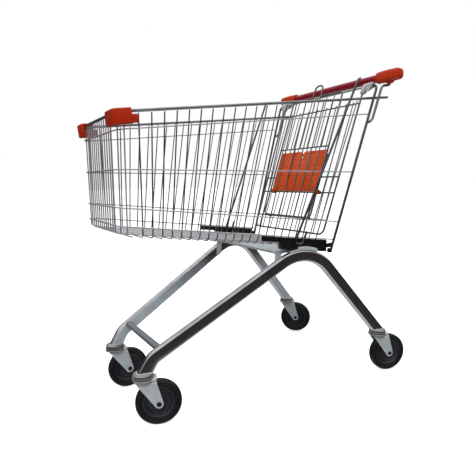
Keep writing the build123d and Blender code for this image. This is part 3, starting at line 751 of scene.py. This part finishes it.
@drawn
def seat_back(shape):
    half, low, top, d = SEAT_BACK_HALF, SEAT_BACK_S, SEAT_BACK_TOP_S, SEAT_BACK_D
    right = [(half, low, 14), (half, top, 14), (20, top, 6), (18, top + 43, 14)]
    corners = [(0, low, 0)] + right + [(-x, s, bend) for x, s, bend in reversed(right)]
    path = bent_path([on_gate(x, s, d) for x, s, _ in corners + corners[:1]],
                     [bend for _, _, bend in corners[1:]])
    sweep(shape, path[:-1], circle(GATE_FRAME_R, 16), closed=True)
    gate_bar(shape, SEAT_BACK_MIDDLE_S, half, d)
    for x in (-90, -54, -18, 18, 54, 90):
        wire(shape, [on_gate(x, SEAT_BACK_MIDDLE_S - 1, d), on_gate(x, top - 1, d)], WIRE_R)
    for x in (-42, 42):
        wire(shape, [on_gate(x, low + 1, d), on_gate(x, SEAT_BACK_MIDDLE_S + 1, d)], WIRE_R)
    for x in (-105, 105):
        hinge_eye(shape, x)


def hinge_eye(shape, x):
    """A strip rolled round the gate's cross wire, with both ends on the seat back's frame."""
    reach, rise = SEAT_BACK_D - PIVOT_D - 1, 3.2
    line = [(reach, rise)] + arc((0, 0), 5.2, 55, 295, 16) + [(reach, -rise)]
    path = [on_gate(x, SEAT_BACK_S + s, PIVOT_D + d) for d, s in line]
    sweep(shape, path, rounded_box(7, 1.6, 0.7, 2), (1, 0, 0))


@drawn
def clip(shape):
    """Hinge block: a barrel on the hoop's bar, a grip on the gate's edge wire and a web."""
    front, behind, top, low = 5.5, -5, -6, -26
    eye_end = tangent_angle((behind, low), CLIP_EYE, CLIP_R, -1) + 360
    grip = arc(CLIP_EYE, CLIP_R, tangent_angle((front, top), CLIP_EYE, CLIP_R, 1), eye_end)
    grip += [(behind, low), (front, low), (front, top)]
    web_r, corner = CLIP_R - 0.4, (-1, -18)
    web = arc(CLIP_EYE, web_r, 0, tangent_angle(corner, CLIP_EYE, web_r, -1) + 360)
    web += [(corner[0] - 3, corner[1]), corner]
    for outline, outer, width in ((grip, 204, 13), (web, 221, 17.5)):
        slab(shape, outline, on_gate(outer, 0), GATE_FORWARD, GATE_UP, width)
    barrel = [(4.2, 195), (8.2, 195), (9.5, 196), (9.8, 197.5), (9.8, 222), (9.5, 223.5),
              (8.2, 224.5), (4.2, 224.5)]
    lathe(shape, barrel, (0, HINGE_Y, HINGE_Z), (1, 0, 0), 40, closed=True)


@drawn
def seat_plate(shape):
    """Moulded plate with a latch notch and hole in its free edge, and a hinge lug at each side."""
    half, low, high = SEAT_PLATE_HALF, SEAT_PLATE_S + 1, SEAT_PLATE_S + SEAT_PLATE_HEIGHT
    outline = arc((half - 5, low + 5), 5, -90, 0, 5) + arc((half - 6, high - 6), 6, 0, 90, 5)
    outline += [(10, high), (2, high - 8)] + arc((0, high - 9), 2.5, -30, -150, 4)
    outline += [(-2, high - 8), (-10, high)]
    outline += arc((6 - half, high - 6), 6, 90, 180, 5) + arc((5 - half, low + 5), 5, 180, 270, 5)
    hole = arc((0, high - 21), 4, 0, 345, 23)
    slab(shape, outline, on_gate(0, 0, SEAT_PLATE_D), (1, 0, 0), GATE_UP, SEAT_PLATE_SHEET, [hole])
    for flip in (1, -1):
        seat_lug(shape, flip)


def seat_lug(shape, flip):
    """Lug at one side of the plate, round the gate's cross wire."""
    far = SEAT_PLATE_D + SEAT_PLATE_SHEET
    outline = [(far, 8), (SEAT_PLATE_D - 1, 6.4)] + arc((PIVOT_D, 0), 6, 90, 270)
    outline += [(far - 3, -6), (far, -3)]
    outer = SEAT_PLATE_HALF + 7.5 if flip > 0 else 6 - SEAT_PLATE_HALF
    slab(shape, outline, on_gate(outer, SEAT_PLATE_S), GATE_FORWARD, GATE_UP, 13.5)


@drawn
def seat_plate_ribs(shape):
    """Raised border and shallow ribs on the plate's face."""
    face = SEAT_PLATE_D + SEAT_PLATE_SHEET - 0.1
    half, low, high = SEAT_PLATE_HALF - 7, SEAT_PLATE_S + 8, SEAT_PLATE_S + SEAT_PLATE_HEIGHT - 7
    notch = high - 22
    corners = [(0, low), (half, low), (half, high), (16, high), (12, notch), (-12, notch),
               (-16, high), (-half, high), (-half, low), (0, low)]
    border = bent_path([on_gate(x, s, face) for x, s in corners], [7, 7, 3, 3, 3, 3, 7, 7], 20)
    section = rounded_box(1.8, 2.6, 0.8, 3)
    sweep(shape, border[:-1], section, GATE_FORWARD, closed=True)
    for k in range(5):
        s = low + 16 + 18 * k
        path = [on_gate(14 - half, s, face), on_gate(half - 14, s, face)]
        sweep(shape, path, section, GATE_FORWARD)


@drawn
def seat_tab(shape):
    """Small red catch at the plate's upper left edge."""
    middle, half = SEAT_PLATE_S + 117, 14
    x, r = SEAT_PLATE_HALF + 6, 7
    outline = arc((x, middle - half + r), r, 180, 360, 8)
    outline += arc((x, middle + half - r), r, 0, 180, 8)
    slab(shape, outline, on_gate(0, 0, SEAT_PLATE_D), (1, 0, 0), GATE_UP, 3.4)


def build_gate():
    gate().build("gate_mesh", "gate", chrome_gate_painted_dark, "gate_panel")
    build_both(clip(), "hinge_clip", "gate", grey_plastic, "gate_hinge_clip", 0.6)
    seat_back().build("seat_back_frame", "seat_back", chrome_gate_painted_dark, "child_seat_back")
    seat_plate().build("seat_plate_moulding", "seat_plate", seat_orange, "child_seat_plate", 0.8)
    seat_plate_ribs().build("seat_plate_ribs", "seat_plate", seat_orange)
    seat_tab().build("seat_catch", "seat_plate", bumper_red, bevel=0.8)


# ---- chassis

LEG_X_REAR = CASTERS["rear_left"][0]
LEG_X_FRONT, LEG_Y_FRONT = CASTERS["front_left"][:2]
LEG_RUN = sqrt((LEG_X_REAR - LEG_X_FRONT) ** 2 + LEG_Y_FRONT ** 2)
LEG_ALONG = unit((LEG_X_REAR - LEG_X_FRONT, -LEG_Y_FRONT, 0))
LEG_ACROSS = np.array((LEG_ALONG[1], -LEG_ALONG[0], 0))
LEG_REAR_END, LEG_APEX, LEG_KNEE, LEG_FRONT_END = (
    (4.5, 147.5), (278, 457.5), (766, 183), (788.5, 147.5))
LEG_APEX_BEND, LEG_KNEE_BEND = 130, 45
CASTER_PLATE_TOP = 146


def leg_point(run, z):
    """A point in the left leg's plane, by its run forward from the rear caster axis."""
    share = run / LEG_RUN
    return np.array((LEG_X_REAR + (LEG_X_FRONT - LEG_X_REAR) * share, LEG_Y_FRONT * share, z))


def leg_run(y):
    """The leg's run forward where it passes a Y."""
    return y / LEG_Y_FRONT * LEG_RUN


def between_legs(y):
    """X of the left leg's inner face, less a hair, at a Y."""
    return leg_point(leg_run(y), 0)[0] - LEG_WIDTH / 2 - 0.2


def leg():
    """The bent tube, and its two end outlines where it stands on the casters."""
    shape = Shape()
    ends = (LEG_REAR_END, LEG_APEX, LEG_KNEE, LEG_FRONT_END)
    path = bent_path([leg_point(*p) for p in ends], [LEG_APEX_BEND, LEG_KNEE_BEND], 3)
    section = rounded_box(LEG_WIDTH, LEG_DEPTH, LEG_CORNER_R, 6)
    rings = swept_rings(path, section, side=LEG_ACROSS)
    for end, inner in ((0, 1), (-1, -2)):
        along = unit(path[end] - path[inner])
        drop = (CASTER_PLATE_TOP + 0.05 - rings[end][:, 2]) / along[2]
        rings[end] = rings[end] + drop[:, None] * along
    shape.rings(rings)
    return shape, (rings[0], rings[-1])


@drawn
def leg_welds(shape, feet):
    """Fillet welds round both ends of the leg, on the caster plates."""
    for foot in feet:
        sweep(shape, foot + (0, 0, 0.8), circle(1.6, 8), closed=True)


@drawn
def crossbar(shape):
    """Cross tube between the front legs, with a weld bead at each end."""
    y, z = -738, 203
    half = between_legs(y)
    rings = swept_rings([(-half, y, z), (half, y, z)], rounded_box(20, 14, 5), (0, 1, 0))
    splay = (LEG_X_REAR - LEG_X_FRONT) / -LEG_Y_FRONT
    for ring, flip in zip(rings, (-1, 1)):
        ring[:, 0] += flip * (ring[:, 1] - y) * splay
    shape.rings(rings)
    for ring in rings:
        sweep(shape, ring, circle(1.5, 8), closed=True)


def leg_bend_centre():
    """Run and height of the centre of the leg's upper bend."""
    rear, front = (unit(np.subtract(end, LEG_APEX)) for end in (LEG_REAR_END, LEG_KNEE))
    half = acos(rear @ front) / 2
    return np.array(LEG_APEX) + unit(rear + front) * LEG_APEX_BEND / sin(half)


CROSS_MEMBER_TOP = 441.5


@drawn
def cross_sheet(shape):
    """Sheet cross-member with a lip folded down in front and a strap down each inner face."""
    front, rear, top, sheet = -385, -232, CROSS_MEMBER_TOP, 3
    low = top - 8.5
    profile = [(front, low), (front, top - 2.6), (front + 0.8, top - 0.8), (front + 2.6, top),
               (rear, top), (rear, top - sheet), (front + sheet + 1, top - sheet),
               (front + sheet, top - sheet - 1), (front + sheet, low)]
    shape.rings([[(flip * between_legs(y), y, z) for y, z in profile] for flip in (-1, 1)])
    outline = [(0, 380), (2, 378.5), (18, 387.5), (20, 391), (21, 426), (24, 431),
               (30, 433), (90, 434), (90, top - 0.2), (0, top - 0.2)]
    strap = Shape()
    foot = leg_point(leg_run(front), 0) - LEG_ACROSS * (LEG_WIDTH / 2 + sheet + 0.1)
    slab(strap, outline, foot, LEG_ALONG, (0, 0, 1), sheet)
    for half in (strap, strap.mirror()):
        shape.add(half.points[0], half.faces)


@drawn
def leg_saddle(shape):
    """Curved plate welded on top of the leg's bend, with a raised lip along its outer side."""
    middle = leg_point(*leg_bend_centre())
    low, rear = LEG_APEX_BEND + LEG_DEPTH / 2 + 0.05, 69.5
    plate, lip = (-LEG_WIDTH / 2 + 1, LEG_WIDTH - 2, 3, 106), (2, 8.5, 10.4, 95.5)
    for start, width, height, front in (plate, lip):
        outline = arc((0, 0), low, front, rear) + arc((0, 0), low + height, rear + 1, front - 1)
        slab(shape, outline, middle + LEG_ACROSS * start, LEG_ALONG, (0, 0, 1), width)


GUARD_FRONT_Y, GUARD_STEP_Y, GUARD_STEP_END_Y, GUARD_REAR_Y = -442, -382, -374, -208
GUARD_HEIGHT, GUARD_TAIL = 39.5, 17.5
GUARD_IN, GUARD_OUT, GUARD_LEDGE_IN = 2.3, 5.1, -15


def guard_low_z(y):
    """Lower edge of the side guard: a step in front, then an arch over the leg."""
    step = min(1, max(0, (y - GUARD_STEP_Y) / (GUARD_STEP_END_Y - GUARD_STEP_Y)))
    low = rail_z(LOW_RAIL, y) - GUARD_TAIL - (GUARD_HEIGHT - GUARD_TAIL) * step
    run_centre, z_centre = leg_bend_centre()
    along = leg_run(y) - run_centre
    reach = LEG_APEX_BEND + LEG_DEPTH / 2 + 4.5
    arch = z_centre + sqrt(reach ** 2 - along ** 2) if abs(along) < reach else 0
    return max(low, arch)


@drawn
def side_guard(shape):
    """Black rest along the basket's lower edge, with a ledge under the floor; its upright ribs are
    a piece of their own.
    """
    rings = []
    for y in [GUARD_FRONT_Y, GUARD_STEP_Y, *np.linspace(GUARD_STEP_END_Y, GUARD_REAR_Y, 25)]:
        top, low = rail_z(LOW_RAIL, y) - RAIL_R - 0.4, guard_low_z(y)
        ledge_low = max(low, CROSS_MEMBER_TOP + 0.3)
        ledge_top = max(floor_z(y) - MESH_R - 1.2, ledge_low + 0.5)
        inner = GUARD_LEDGE_IN if y > GUARD_STEP_Y else GUARD_IN
        outline = ((top, GUARD_OUT), (low, GUARD_OUT), (low, GUARD_IN + 0.1), (ledge_low, inner),
                   (ledge_top, inner), (ledge_top, GUARD_IN + 0.05), (top, GUARD_IN))
        rings.append([side(y, z, out) for z, out in outline])
    shape.rings(rings)


@drawn
def guard_ribs(shape):
    """Ribs and a border moulded on the guard's outer face."""
    section = rounded_box(1.6, 2.4, 0.7, 2)
    top = LOW_RAIL[0] - 5, LOW_RAIL[1]
    for k in range(6):
        y = GUARD_STEP_Y + 14 + 32 * k
        path = side_line(GUARD_OUT, (y, guard_low_z(y) + 3), (y, rail_z(top, y)))
        sweep(shape, path, section, SIDE_NORMAL)
    ends = GUARD_FRONT_Y + 3, GUARD_REAR_Y - 3
    sweep(shape, side_line(GUARD_OUT, *((y, rail_z(top, y)) for y in ends)), section, SIDE_NORMAL)


@drawn
def guard_hook(shape):
    """Block and curl at the guard's rear end that hold the hoop's foot."""
    x = side(GUARD_REAR_Y, 445, 3)[0]
    outline = [(GUARD_REAR_Y - 3, 441), (-196, 441), (-189.5, 446), (-188, 454),
               (GUARD_REAR_Y - 3, 452)]
    slab(shape, outline, (x, 0, 0), (0, 1, 0), (0, 0, 1), 9)
    curl = [(4.1, 2), (6.4, 2), (7, 2.8), (7, 11.2), (6.4, 12), (4.1, 12)]
    lathe(shape, curl, (x, -198.5, 431), (1, 0, 0), 32, closed=True)


def build_chassis():
    tube, feet = leg()
    build_both(tube, "leg_tube", FRAME, chrome_tube, "leg")
    build_both(leg_welds(feet), "leg_welds", FRAME, zinc_sheet)
    crossbar().build("crossbar_tube", FRAME, zinc_painted_shade, "front_crossbar")
    cross_sheet().build("cross_sheet", FRAME, zinc_sheet, "cross_member", 0.4)
    build_both(leg_saddle(), "saddle_plate", FRAME, zinc_sheet, "leg_saddle", 0.6)
    build_both(side_guard(), "guard_moulding", FRAME, black_plastic, "side_guard", 0.8)
    build_both(guard_ribs(), "guard_ribs", FRAME, black_plastic)
    build_both(guard_hook(), "guard_hook", FRAME, black_plastic, "", 0.6)


# ---- casters

# The fork: the middle and the thickness of its legs, the radius round the axle, and where its
# legs reach the crown in front and behind.
FORK_MIDDLE, FORK_SHEET, FORK_BOSS = 17.5, 3, 12
FORK_FRONT, FORK_REAR, FORK_TOP = -23, 33, 128
FOLD_Z, FOLD_R = 119, 6.5
TONGUE_Z, TONGUE_SHEET = 127.2, 6.2


def caster_frame(name):
    """Foot of the swivel's axis, and the directions of its own X and Y."""
    x, y, angle = CASTERS[name]
    a = radians(angle)
    return np.array((x, y, 0)), np.array((cos(a), -sin(a), 0)), np.array((sin(a), cos(a), 0))


def at_caster(name, x, y, z):
    foot, across, back = caster_frame(name)
    return foot + across * x + back * y + (0, 0, z)


# Profiles by radius and height: the flange under the leg with the ball race and the king pin, and
# the race's lower ring with its rolled edge.
RACE_PROFILE = [(25, 145.98), (26.6, 145.2), (27, 144.3), (26.8, 143.2), (25.2, 142.4), (21, 142),
                (20.8, 140.6), (25.4, 140.2), (27.6, 139.2), (28, 138), (27.6, 136.8), (25.6, 136),
                (22, 135.6), (21.8, 134.4), (6, 134.4), (6, 124.6), (7.4, 124.4), (8, 123.6),
                (8, 121), (7.2, 120.1)]
CROWN_PROFILE = [(6.1, 134.1), (23, 134.1), (25.6, 133.8), (28, 133.2), (29.2, 131.8), (29.3, 130),
                 (28.6, 128.2), (26.8, 127.2), (24, 127), (6.1, 127)]


@drawn
def swivel_lathe(shape, name, profile, closed=False):
    """A shape turned round the swivel's axis."""
    lathe(shape, profile, caster_frame(name)[0], (0, 0, 1), closed=closed)


@drawn
def fork(shape, name):
    """Tongue behind the crown, and the two legs that carry the axle."""
    foot, across, back = caster_frame(name)
    tongue = arc((10, FORK_REAR - 6), 9, 0, 90, 8) + arc((-10, FORK_REAR - 6), 9, 90, 180, 8)
    slab(shape, tongue + [(-19, 21), (19, 21)], foot + (0, 0, TONGUE_Z), across, back,
         TONGUE_SHEET)
    for flip in (1, -1):
        fork_leg(shape, name, flip)


def fork_limits(z):
    """Front and rear edge of a fork leg at a height: round the axle, and straight above it."""
    limits = []
    for corner, flip in ((FORK_FRONT, 1), (FORK_REAR, -1)):
        a = radians(tangent_angle((corner, FORK_TOP), (TRAIL, WHEEL_R), FORK_BOSS, flip))
        start, start_z = TRAIL + FORK_BOSS * cos(a), WHEEL_R + FORK_BOSS * sin(a)
        if z <= start_z:
            limits.append(TRAIL - flip * sqrt(max(0, FORK_BOSS ** 2 - (z - WHEEL_R) ** 2)))
        else:
            limits.append(start + (corner - start) * ((z - start_z) / (FORK_TOP - start_z)))
    return limits


def fork_leg(shape, name, flip):
    """Sheet leg, rounded at the axle and folded in under the crown."""
    line = [(FORK_MIDDLE, WHEEL_R - FORK_BOSS * cos(radians(a)), 0) for a in range(6, 91, 7)]
    line += [(FORK_MIDDLE, z, 0) for z in (68, 80, 95, 110)]
    for a in np.linspace(0, pi / 2, 7):
        line.append((FORK_MIDDLE - FOLD_R * (1 - cos(a)), FOLD_Z + FOLD_R * sin(a), a))
    rings = []
    for x, z, lean in line:
        front, rear = fork_limits(z)
        out, up = cos(lean) * FORK_SHEET / 2, sin(lean) * FORK_SHEET / 2
        ring = ((x - out, front, z - up), (x - out, rear, z - up), (x + out, rear, z + up),
                (x + out, front, z + up))
        rings.append([at_caster(name, flip * a, b, c) for a, b, c in ring])
    shape.rings(rings)


@drawn
def axle_lathe(shape, name, profile, sides, closed=True):
    """A shape turned round the wheel's axle."""
    centre = at_caster(name, 0, TRAIL, WHEEL_R)
    lathe(shape, profile, centre, caster_frame(name)[1], sides, closed)


# Half profiles, by radius and distance from the wheel's middle: the axle with its flared, dished
# head, the tyre and the hub
AXLE_FACE = FORK_MIDDLE + FORK_SHEET / 2 + 0.05
AXLE_HEAD = [(r, AXLE_FACE + x) for r, x in ((5, 0), (6.5, 0), (6.8, 0.7), (6.4, 1.9), (5.8, 2.4),
                                             (5.2, 2.4), (4.6, 1.7), (4.3, 0.4))]
TYRE_SECTION = [(44.1, 10.2), (45.6, 11.5), (47.8, 12), (49.6, 11.4), (50.4, 10.2), (51.6, 10.4),
                (53.2, 12), (55.6, 12.5), (57.6, 12.2), (60, 11), (61.5, 8.9), (62.3, 5.4),
                (WHEEL_R, 1.8)]
HUB_SECTION = [(5.1, 15.5), (10, 15.5), (10.9, 14.7), (11.4, 9), (13, 6.6), (17.4, 5.2),
               (18.8, 7.2), (20.6, 8.4), (22.6, 7.6), (24, 5), (28.4, 4.2), (29.8, 6.4),
               (31.6, 7.4), (33.6, 6.2), (35, 4.8), (36.6, 6), (38.8, 10.4), (40.2, 11.3),
               (42.6, 11.3), (44, 9.8)]


def build_casters():
    for at in CASTERS:
        swivel, wheel = f"{at}_swivel", f"{at}_wheel"
        race, lower_ring = swivel_lathe(at, RACE_PROFILE), swivel_lathe(at, CROWN_PROFILE, True)
        race.build(f"{at}_race", FRAME, bolt_steel, f"{at}_caster_top")
        fork(at).build(f"{at}_fork", swivel, zinc_sheet, f"{at}_caster_fork", 0.7)
        lower_ring.build(f"{at}_crown", swivel, bolt_steel)
        axle = axle_lathe(at, both_ends(AXLE_HEAD), 40, False)
        axle.build(f"{at}_axle", swivel, axle_steel_painted_shade, f"{at}_axle_bolt")
        for part, section, sides, look in (("tyre", TYRE_SECTION, 96, tyre_black),
                                           ("hub", HUB_SECTION, 72, hub_grey)):
            profile = section + [(r, -x) for r, x in reversed(section)]
            axle_lathe(at, profile, sides).build(f"{at}_{part}", wheel, look,
                                                 f"{at}_wheel_{part}", sharp=50)


# ---- bumpers

BUMPER_IN, BUMPER_OUT, BUMPER_LIP_IN = 6.3, 16, -4.6
BUMPER_TOP, BUMPER_LOW, BUMPER_LIP_LOW = 6.6, -30, 4.2
BUMPER_FRONT_X, BUMPER_REAR, BUMPER_BEND, BUMPER_ROUND = 121, 29, 16, 2.4
LUG_LENGTH, LUG_TOP, LUG_STEP, LUG_ROUND = 14, -8, 1.5, 2


def corner_line(out, bend):
    """Level outline round the front left corner, at a distance out from the panels."""
    points = [(BUMPER_FRONT_X, FRONT_Y - out, 0),
              (SIDE_X + out * (1 - SIDE_PER_Y), FRONT_Y - out, 0),
              (SIDE_X + out + SIDE_PER_Y * BUMPER_REAR, FRONT_Y + BUMPER_REAR, 0)]
    return bent_path(points, bend, 9)


def on_rim_slope(ring):
    """Points given by their level place and height, tilted to the rim's slope."""
    lean = atan(RIM_SLOPE)
    return [(x, FRONT_Y + (y - FRONT_Y) * cos(lean) - height * sin(lean),
             RIM_FRONT_Z + (y - FRONT_Y) * sin(lean) + height * cos(lean))
            for (x, y, _), height in ring]


@drawn
def bumper(shape):
    """Corner guard: a thick band that hooks over the rim and ends in a lower lug."""
    inner = corner_line(BUMPER_IN, RIM_BEND + BUMPER_IN - RIM_OUT)
    outer = corner_line(BUMPER_OUT, BUMPER_BEND)
    edge = corner_line(BUMPER_OUT - BUMPER_ROUND, BUMPER_BEND - BUMPER_ROUND)
    lip = corner_line(BUMPER_LIP_IN, RIM_BEND + BUMPER_LIP_IN - RIM_OUT)
    low, top, under, r = BUMPER_LOW, BUMPER_TOP, BUMPER_LIP_LOW, BUMPER_ROUND
    rings = [[(e, low), (b, low + r), (b, top - r), (e, top), (c, top), (c, under), (a, under),
              (a, low)] for a, b, c, e in zip(inner, outer, lip, edge)]
    back = unit(outer[-1] - outer[-2])
    for reach, trim in ((0.1, 0), (LUG_LENGTH - LUG_ROUND, 0), (LUG_LENGTH, LUG_ROUND)):
        a = inner[-1] + back * reach
        e, b = (line[-1] + back * reach - SIDE_NORMAL * (LUG_STEP + trim)
                for line in (edge, outer))
        high, bottom = LUG_TOP - trim, low + LUG_STEP + trim
        rings.append([(e, bottom), (b, bottom + r), (b, high - r), (e, high), (a, high),
                      (a, high - 0.1), (a, high - 0.2), (a, bottom)])
    shape.rings([on_rim_slope(ring) for ring in rings])


# ---- handle

HANDLE_Y, HANDLE_Z = 17, 974
CAP_INNER, CAP_OUTER, CAP_NOSE = 203, 288, 9
CAP_END_DEPTH, CAP_END_HEIGHT = 36, 32.5
SCREW_X = 274


@drawn
def handle_sleeve(shape):
    half = CAP_INNER + 3
    profile = both_ends([(12.5, half - 4), (12.3, half - 1), (11, half)])
    lathe(shape, profile, (0, HANDLE_Y, HANDLE_Z), (1, 0, 0), 48)


@drawn
def handle_cap(shape):
    """Collar, boxy grip end with a rounded nose, socket for the arm and ring for the screw."""
    axis = (0, HANDLE_Y, HANDLE_Z)
    collar = [(12.6, 0), (17.6, 0), (18.4, 0.8), (18.4, 3.4), (17.4, 4.4), (12.6, 5)]
    lathe(shape, [(r, CAP_INNER + x) for r, x in collar], axis, (1, 0, 0), 48, closed=True)
    nose = CAP_OUTER - CAP_NOSE
    stations = [(CAP_INNER + 3, 33, 30), (CAP_INNER + 8, 35, 32.5), (CAP_INNER + 14, 36.5, 34),
                (nose - 30, 37, 34.5), (nose, CAP_END_DEPTH, CAP_END_HEIGHT)]
    for a in np.linspace(0, pi / 2, 7)[1:]:
        shrink = 2 * CAP_NOSE * (1 - cos(a))
        stations.append((nose + CAP_NOSE * sin(a), CAP_END_DEPTH - shrink,
                         CAP_END_HEIGHT - shrink))
    rings = []
    for x, depth, height in stations:
        section = rounded_box(depth, height, min(10, height / 2 - 0.5), 6)
        rings.append([(x, HANDLE_Y + a, HANDLE_Z + b) for a, b in section])
    shape.rings(rings)
    socket = [(14, 964), (13.4, 957.6), (12.2, 954.2), (10.2, 952.4), (4.3, 952)]
    lathe(shape, socket, (*ARM_PLACE, 0), (0, 0, 1), 32)
    ring = [(7, 0.6), (6.8, -0.7), (5.8, -1), (5.2, -0.6), (5, 0.6)]
    lathe(shape, ring, (SCREW_X, HANDLE_Y - 17.4, HANDLE_Z + 2), (0, 1, 0), 32, closed=True)


def build_plastics():
    build_both(bumper(), "bumper_moulding", FRAME, bumper_red, "corner_bumper", 0.9)
    handle_sleeve().build("handle_sleeve", FRAME, handle_red, "handle_tube")
    build_both(handle_cap(), "grip_end", FRAME, cap_orange, "handle_cap")


# ---- CAD node that stays

def dress_cad():
    """The cap screws are the one CAD node whose own shape shows."""
    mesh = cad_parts["handle_cap_screws"].data
    mesh.materials.clear()
    mesh.materials.append(bolt_steel)


# ---- stage

def area_light(name, at, target, size, power):
    """A soft light that isn't mirrored in the chrome."""
    data = bpy.data.lights.new(name, "AREA")
    data.shape, (data.size, data.size_y), data.energy = "RECTANGLE", size, power
    light = put(name, data)
    light.location = at
    light.rotation_euler = (Vector(target) - Vector(at)).to_track_quat("-Z", "Y").to_euler()
    light.visible_glossy = False


def build_stage():
    mesh = bpy.data.meshes.new("studio_floor")
    reach = 40
    mesh.from_pydata([(-reach, -reach, 0), (reach, -reach, 0), (reach, reach, 0),
                      (-reach, reach, 0)], [], [(0, 1, 2, 3)])
    mesh.materials.append(floor_material())
    floor = put("studio_floor", mesh)
    floor.visible_glossy = floor.visible_diffuse = False
    area_light("key", (2.4, -2.6, 3.4), (0, 0, 0.5), (1.6, 1.6), 70)
    area_light("fill", (-3.6, -0.6, 2.6), (0, 0, 0.5), (2.6, 2.6), 22)
    area_light("back", (0.5, 3.6, 3), (0, 0, 0.6), (3, 1.6), 40)


# Greys of the surroundings by height, from straight below at 0 to straight above at 1.  The
# dark ones have a warm tint.
SKY_GREYS = ((0, 0.7), (0.18, 0.5), (0.29, 0.05), (0.57, 0.03), (0.68, 0.45), (0.85, 0.9))
COOL, WARM = (1, 1, 1.03), (1.13, 0.94, 0.98)


def build_world():
    """The surroundings that the chrome mirrors, and plain white to the camera."""
    world = bpy.data.worlds.new("studio")
    bpy.context.scene.world = world
    world.use_nodes = True
    n = Nodes(world.node_tree)
    n.tree.nodes.clear()
    direction = n.node("ShaderNodeTexCoord").outputs["Generated"]
    height = n.ramp_between(n.split(direction)["Z"], -1, 1)
    stops = [(at, [grey * tint for tint in (WARM if grey < 0.1 else COOL)])
             for at, grey in SKY_GREYS]
    lit, seen = (n.node("ShaderNodeBackground") for _ in range(2))
    n.link(n.ramp(height, *stops), lit.inputs["Color"])
    seen.inputs["Color"].default_value = (1, 1, 1, 1)
    to_camera = n.node("ShaderNodeLightPath").outputs["Is Camera Ray"]
    mix = n.node("ShaderNodeMixShader")
    for output, socket in zip((to_camera, lit.outputs[0], seen.outputs[0]), mix.inputs):
        n.link(output, socket)
    n.link(mix.outputs[0], n.node("ShaderNodeOutputWorld").inputs[0])


def build_camera():
    a, e, roll = (radians(v) for v in (CAMERA_YAW, CAMERA_PITCH, CAMERA_ROLL))
    back = Vector((sin(a) * cos(e), -cos(a) * cos(e), sin(e)))
    right = Vector((cos(a), sin(a), 0))
    up = back.cross(right)
    x = right * cos(roll) + up * sin(roll)
    y = up * cos(roll) - right * sin(roll)
    turn = Matrix((x, y, back)).transposed().to_4x4()
    data = bpy.data.cameras.new("camera")
    data.lens, data.sensor_width = CAMERA_LENS, 36
    data.clip_end = 200
    camera = put("camera", data)
    camera.matrix_world = Matrix.Translation(CAMERA_AT) @ turn
    bpy.context.scene.camera = camera


build_basket()
build_gate()
build_chassis()
build_casters()
build_plastics()
dress_cad()
build_stage()
build_world()
build_camera()
bpy.context.scene.view_settings.view_transform = "Standard"
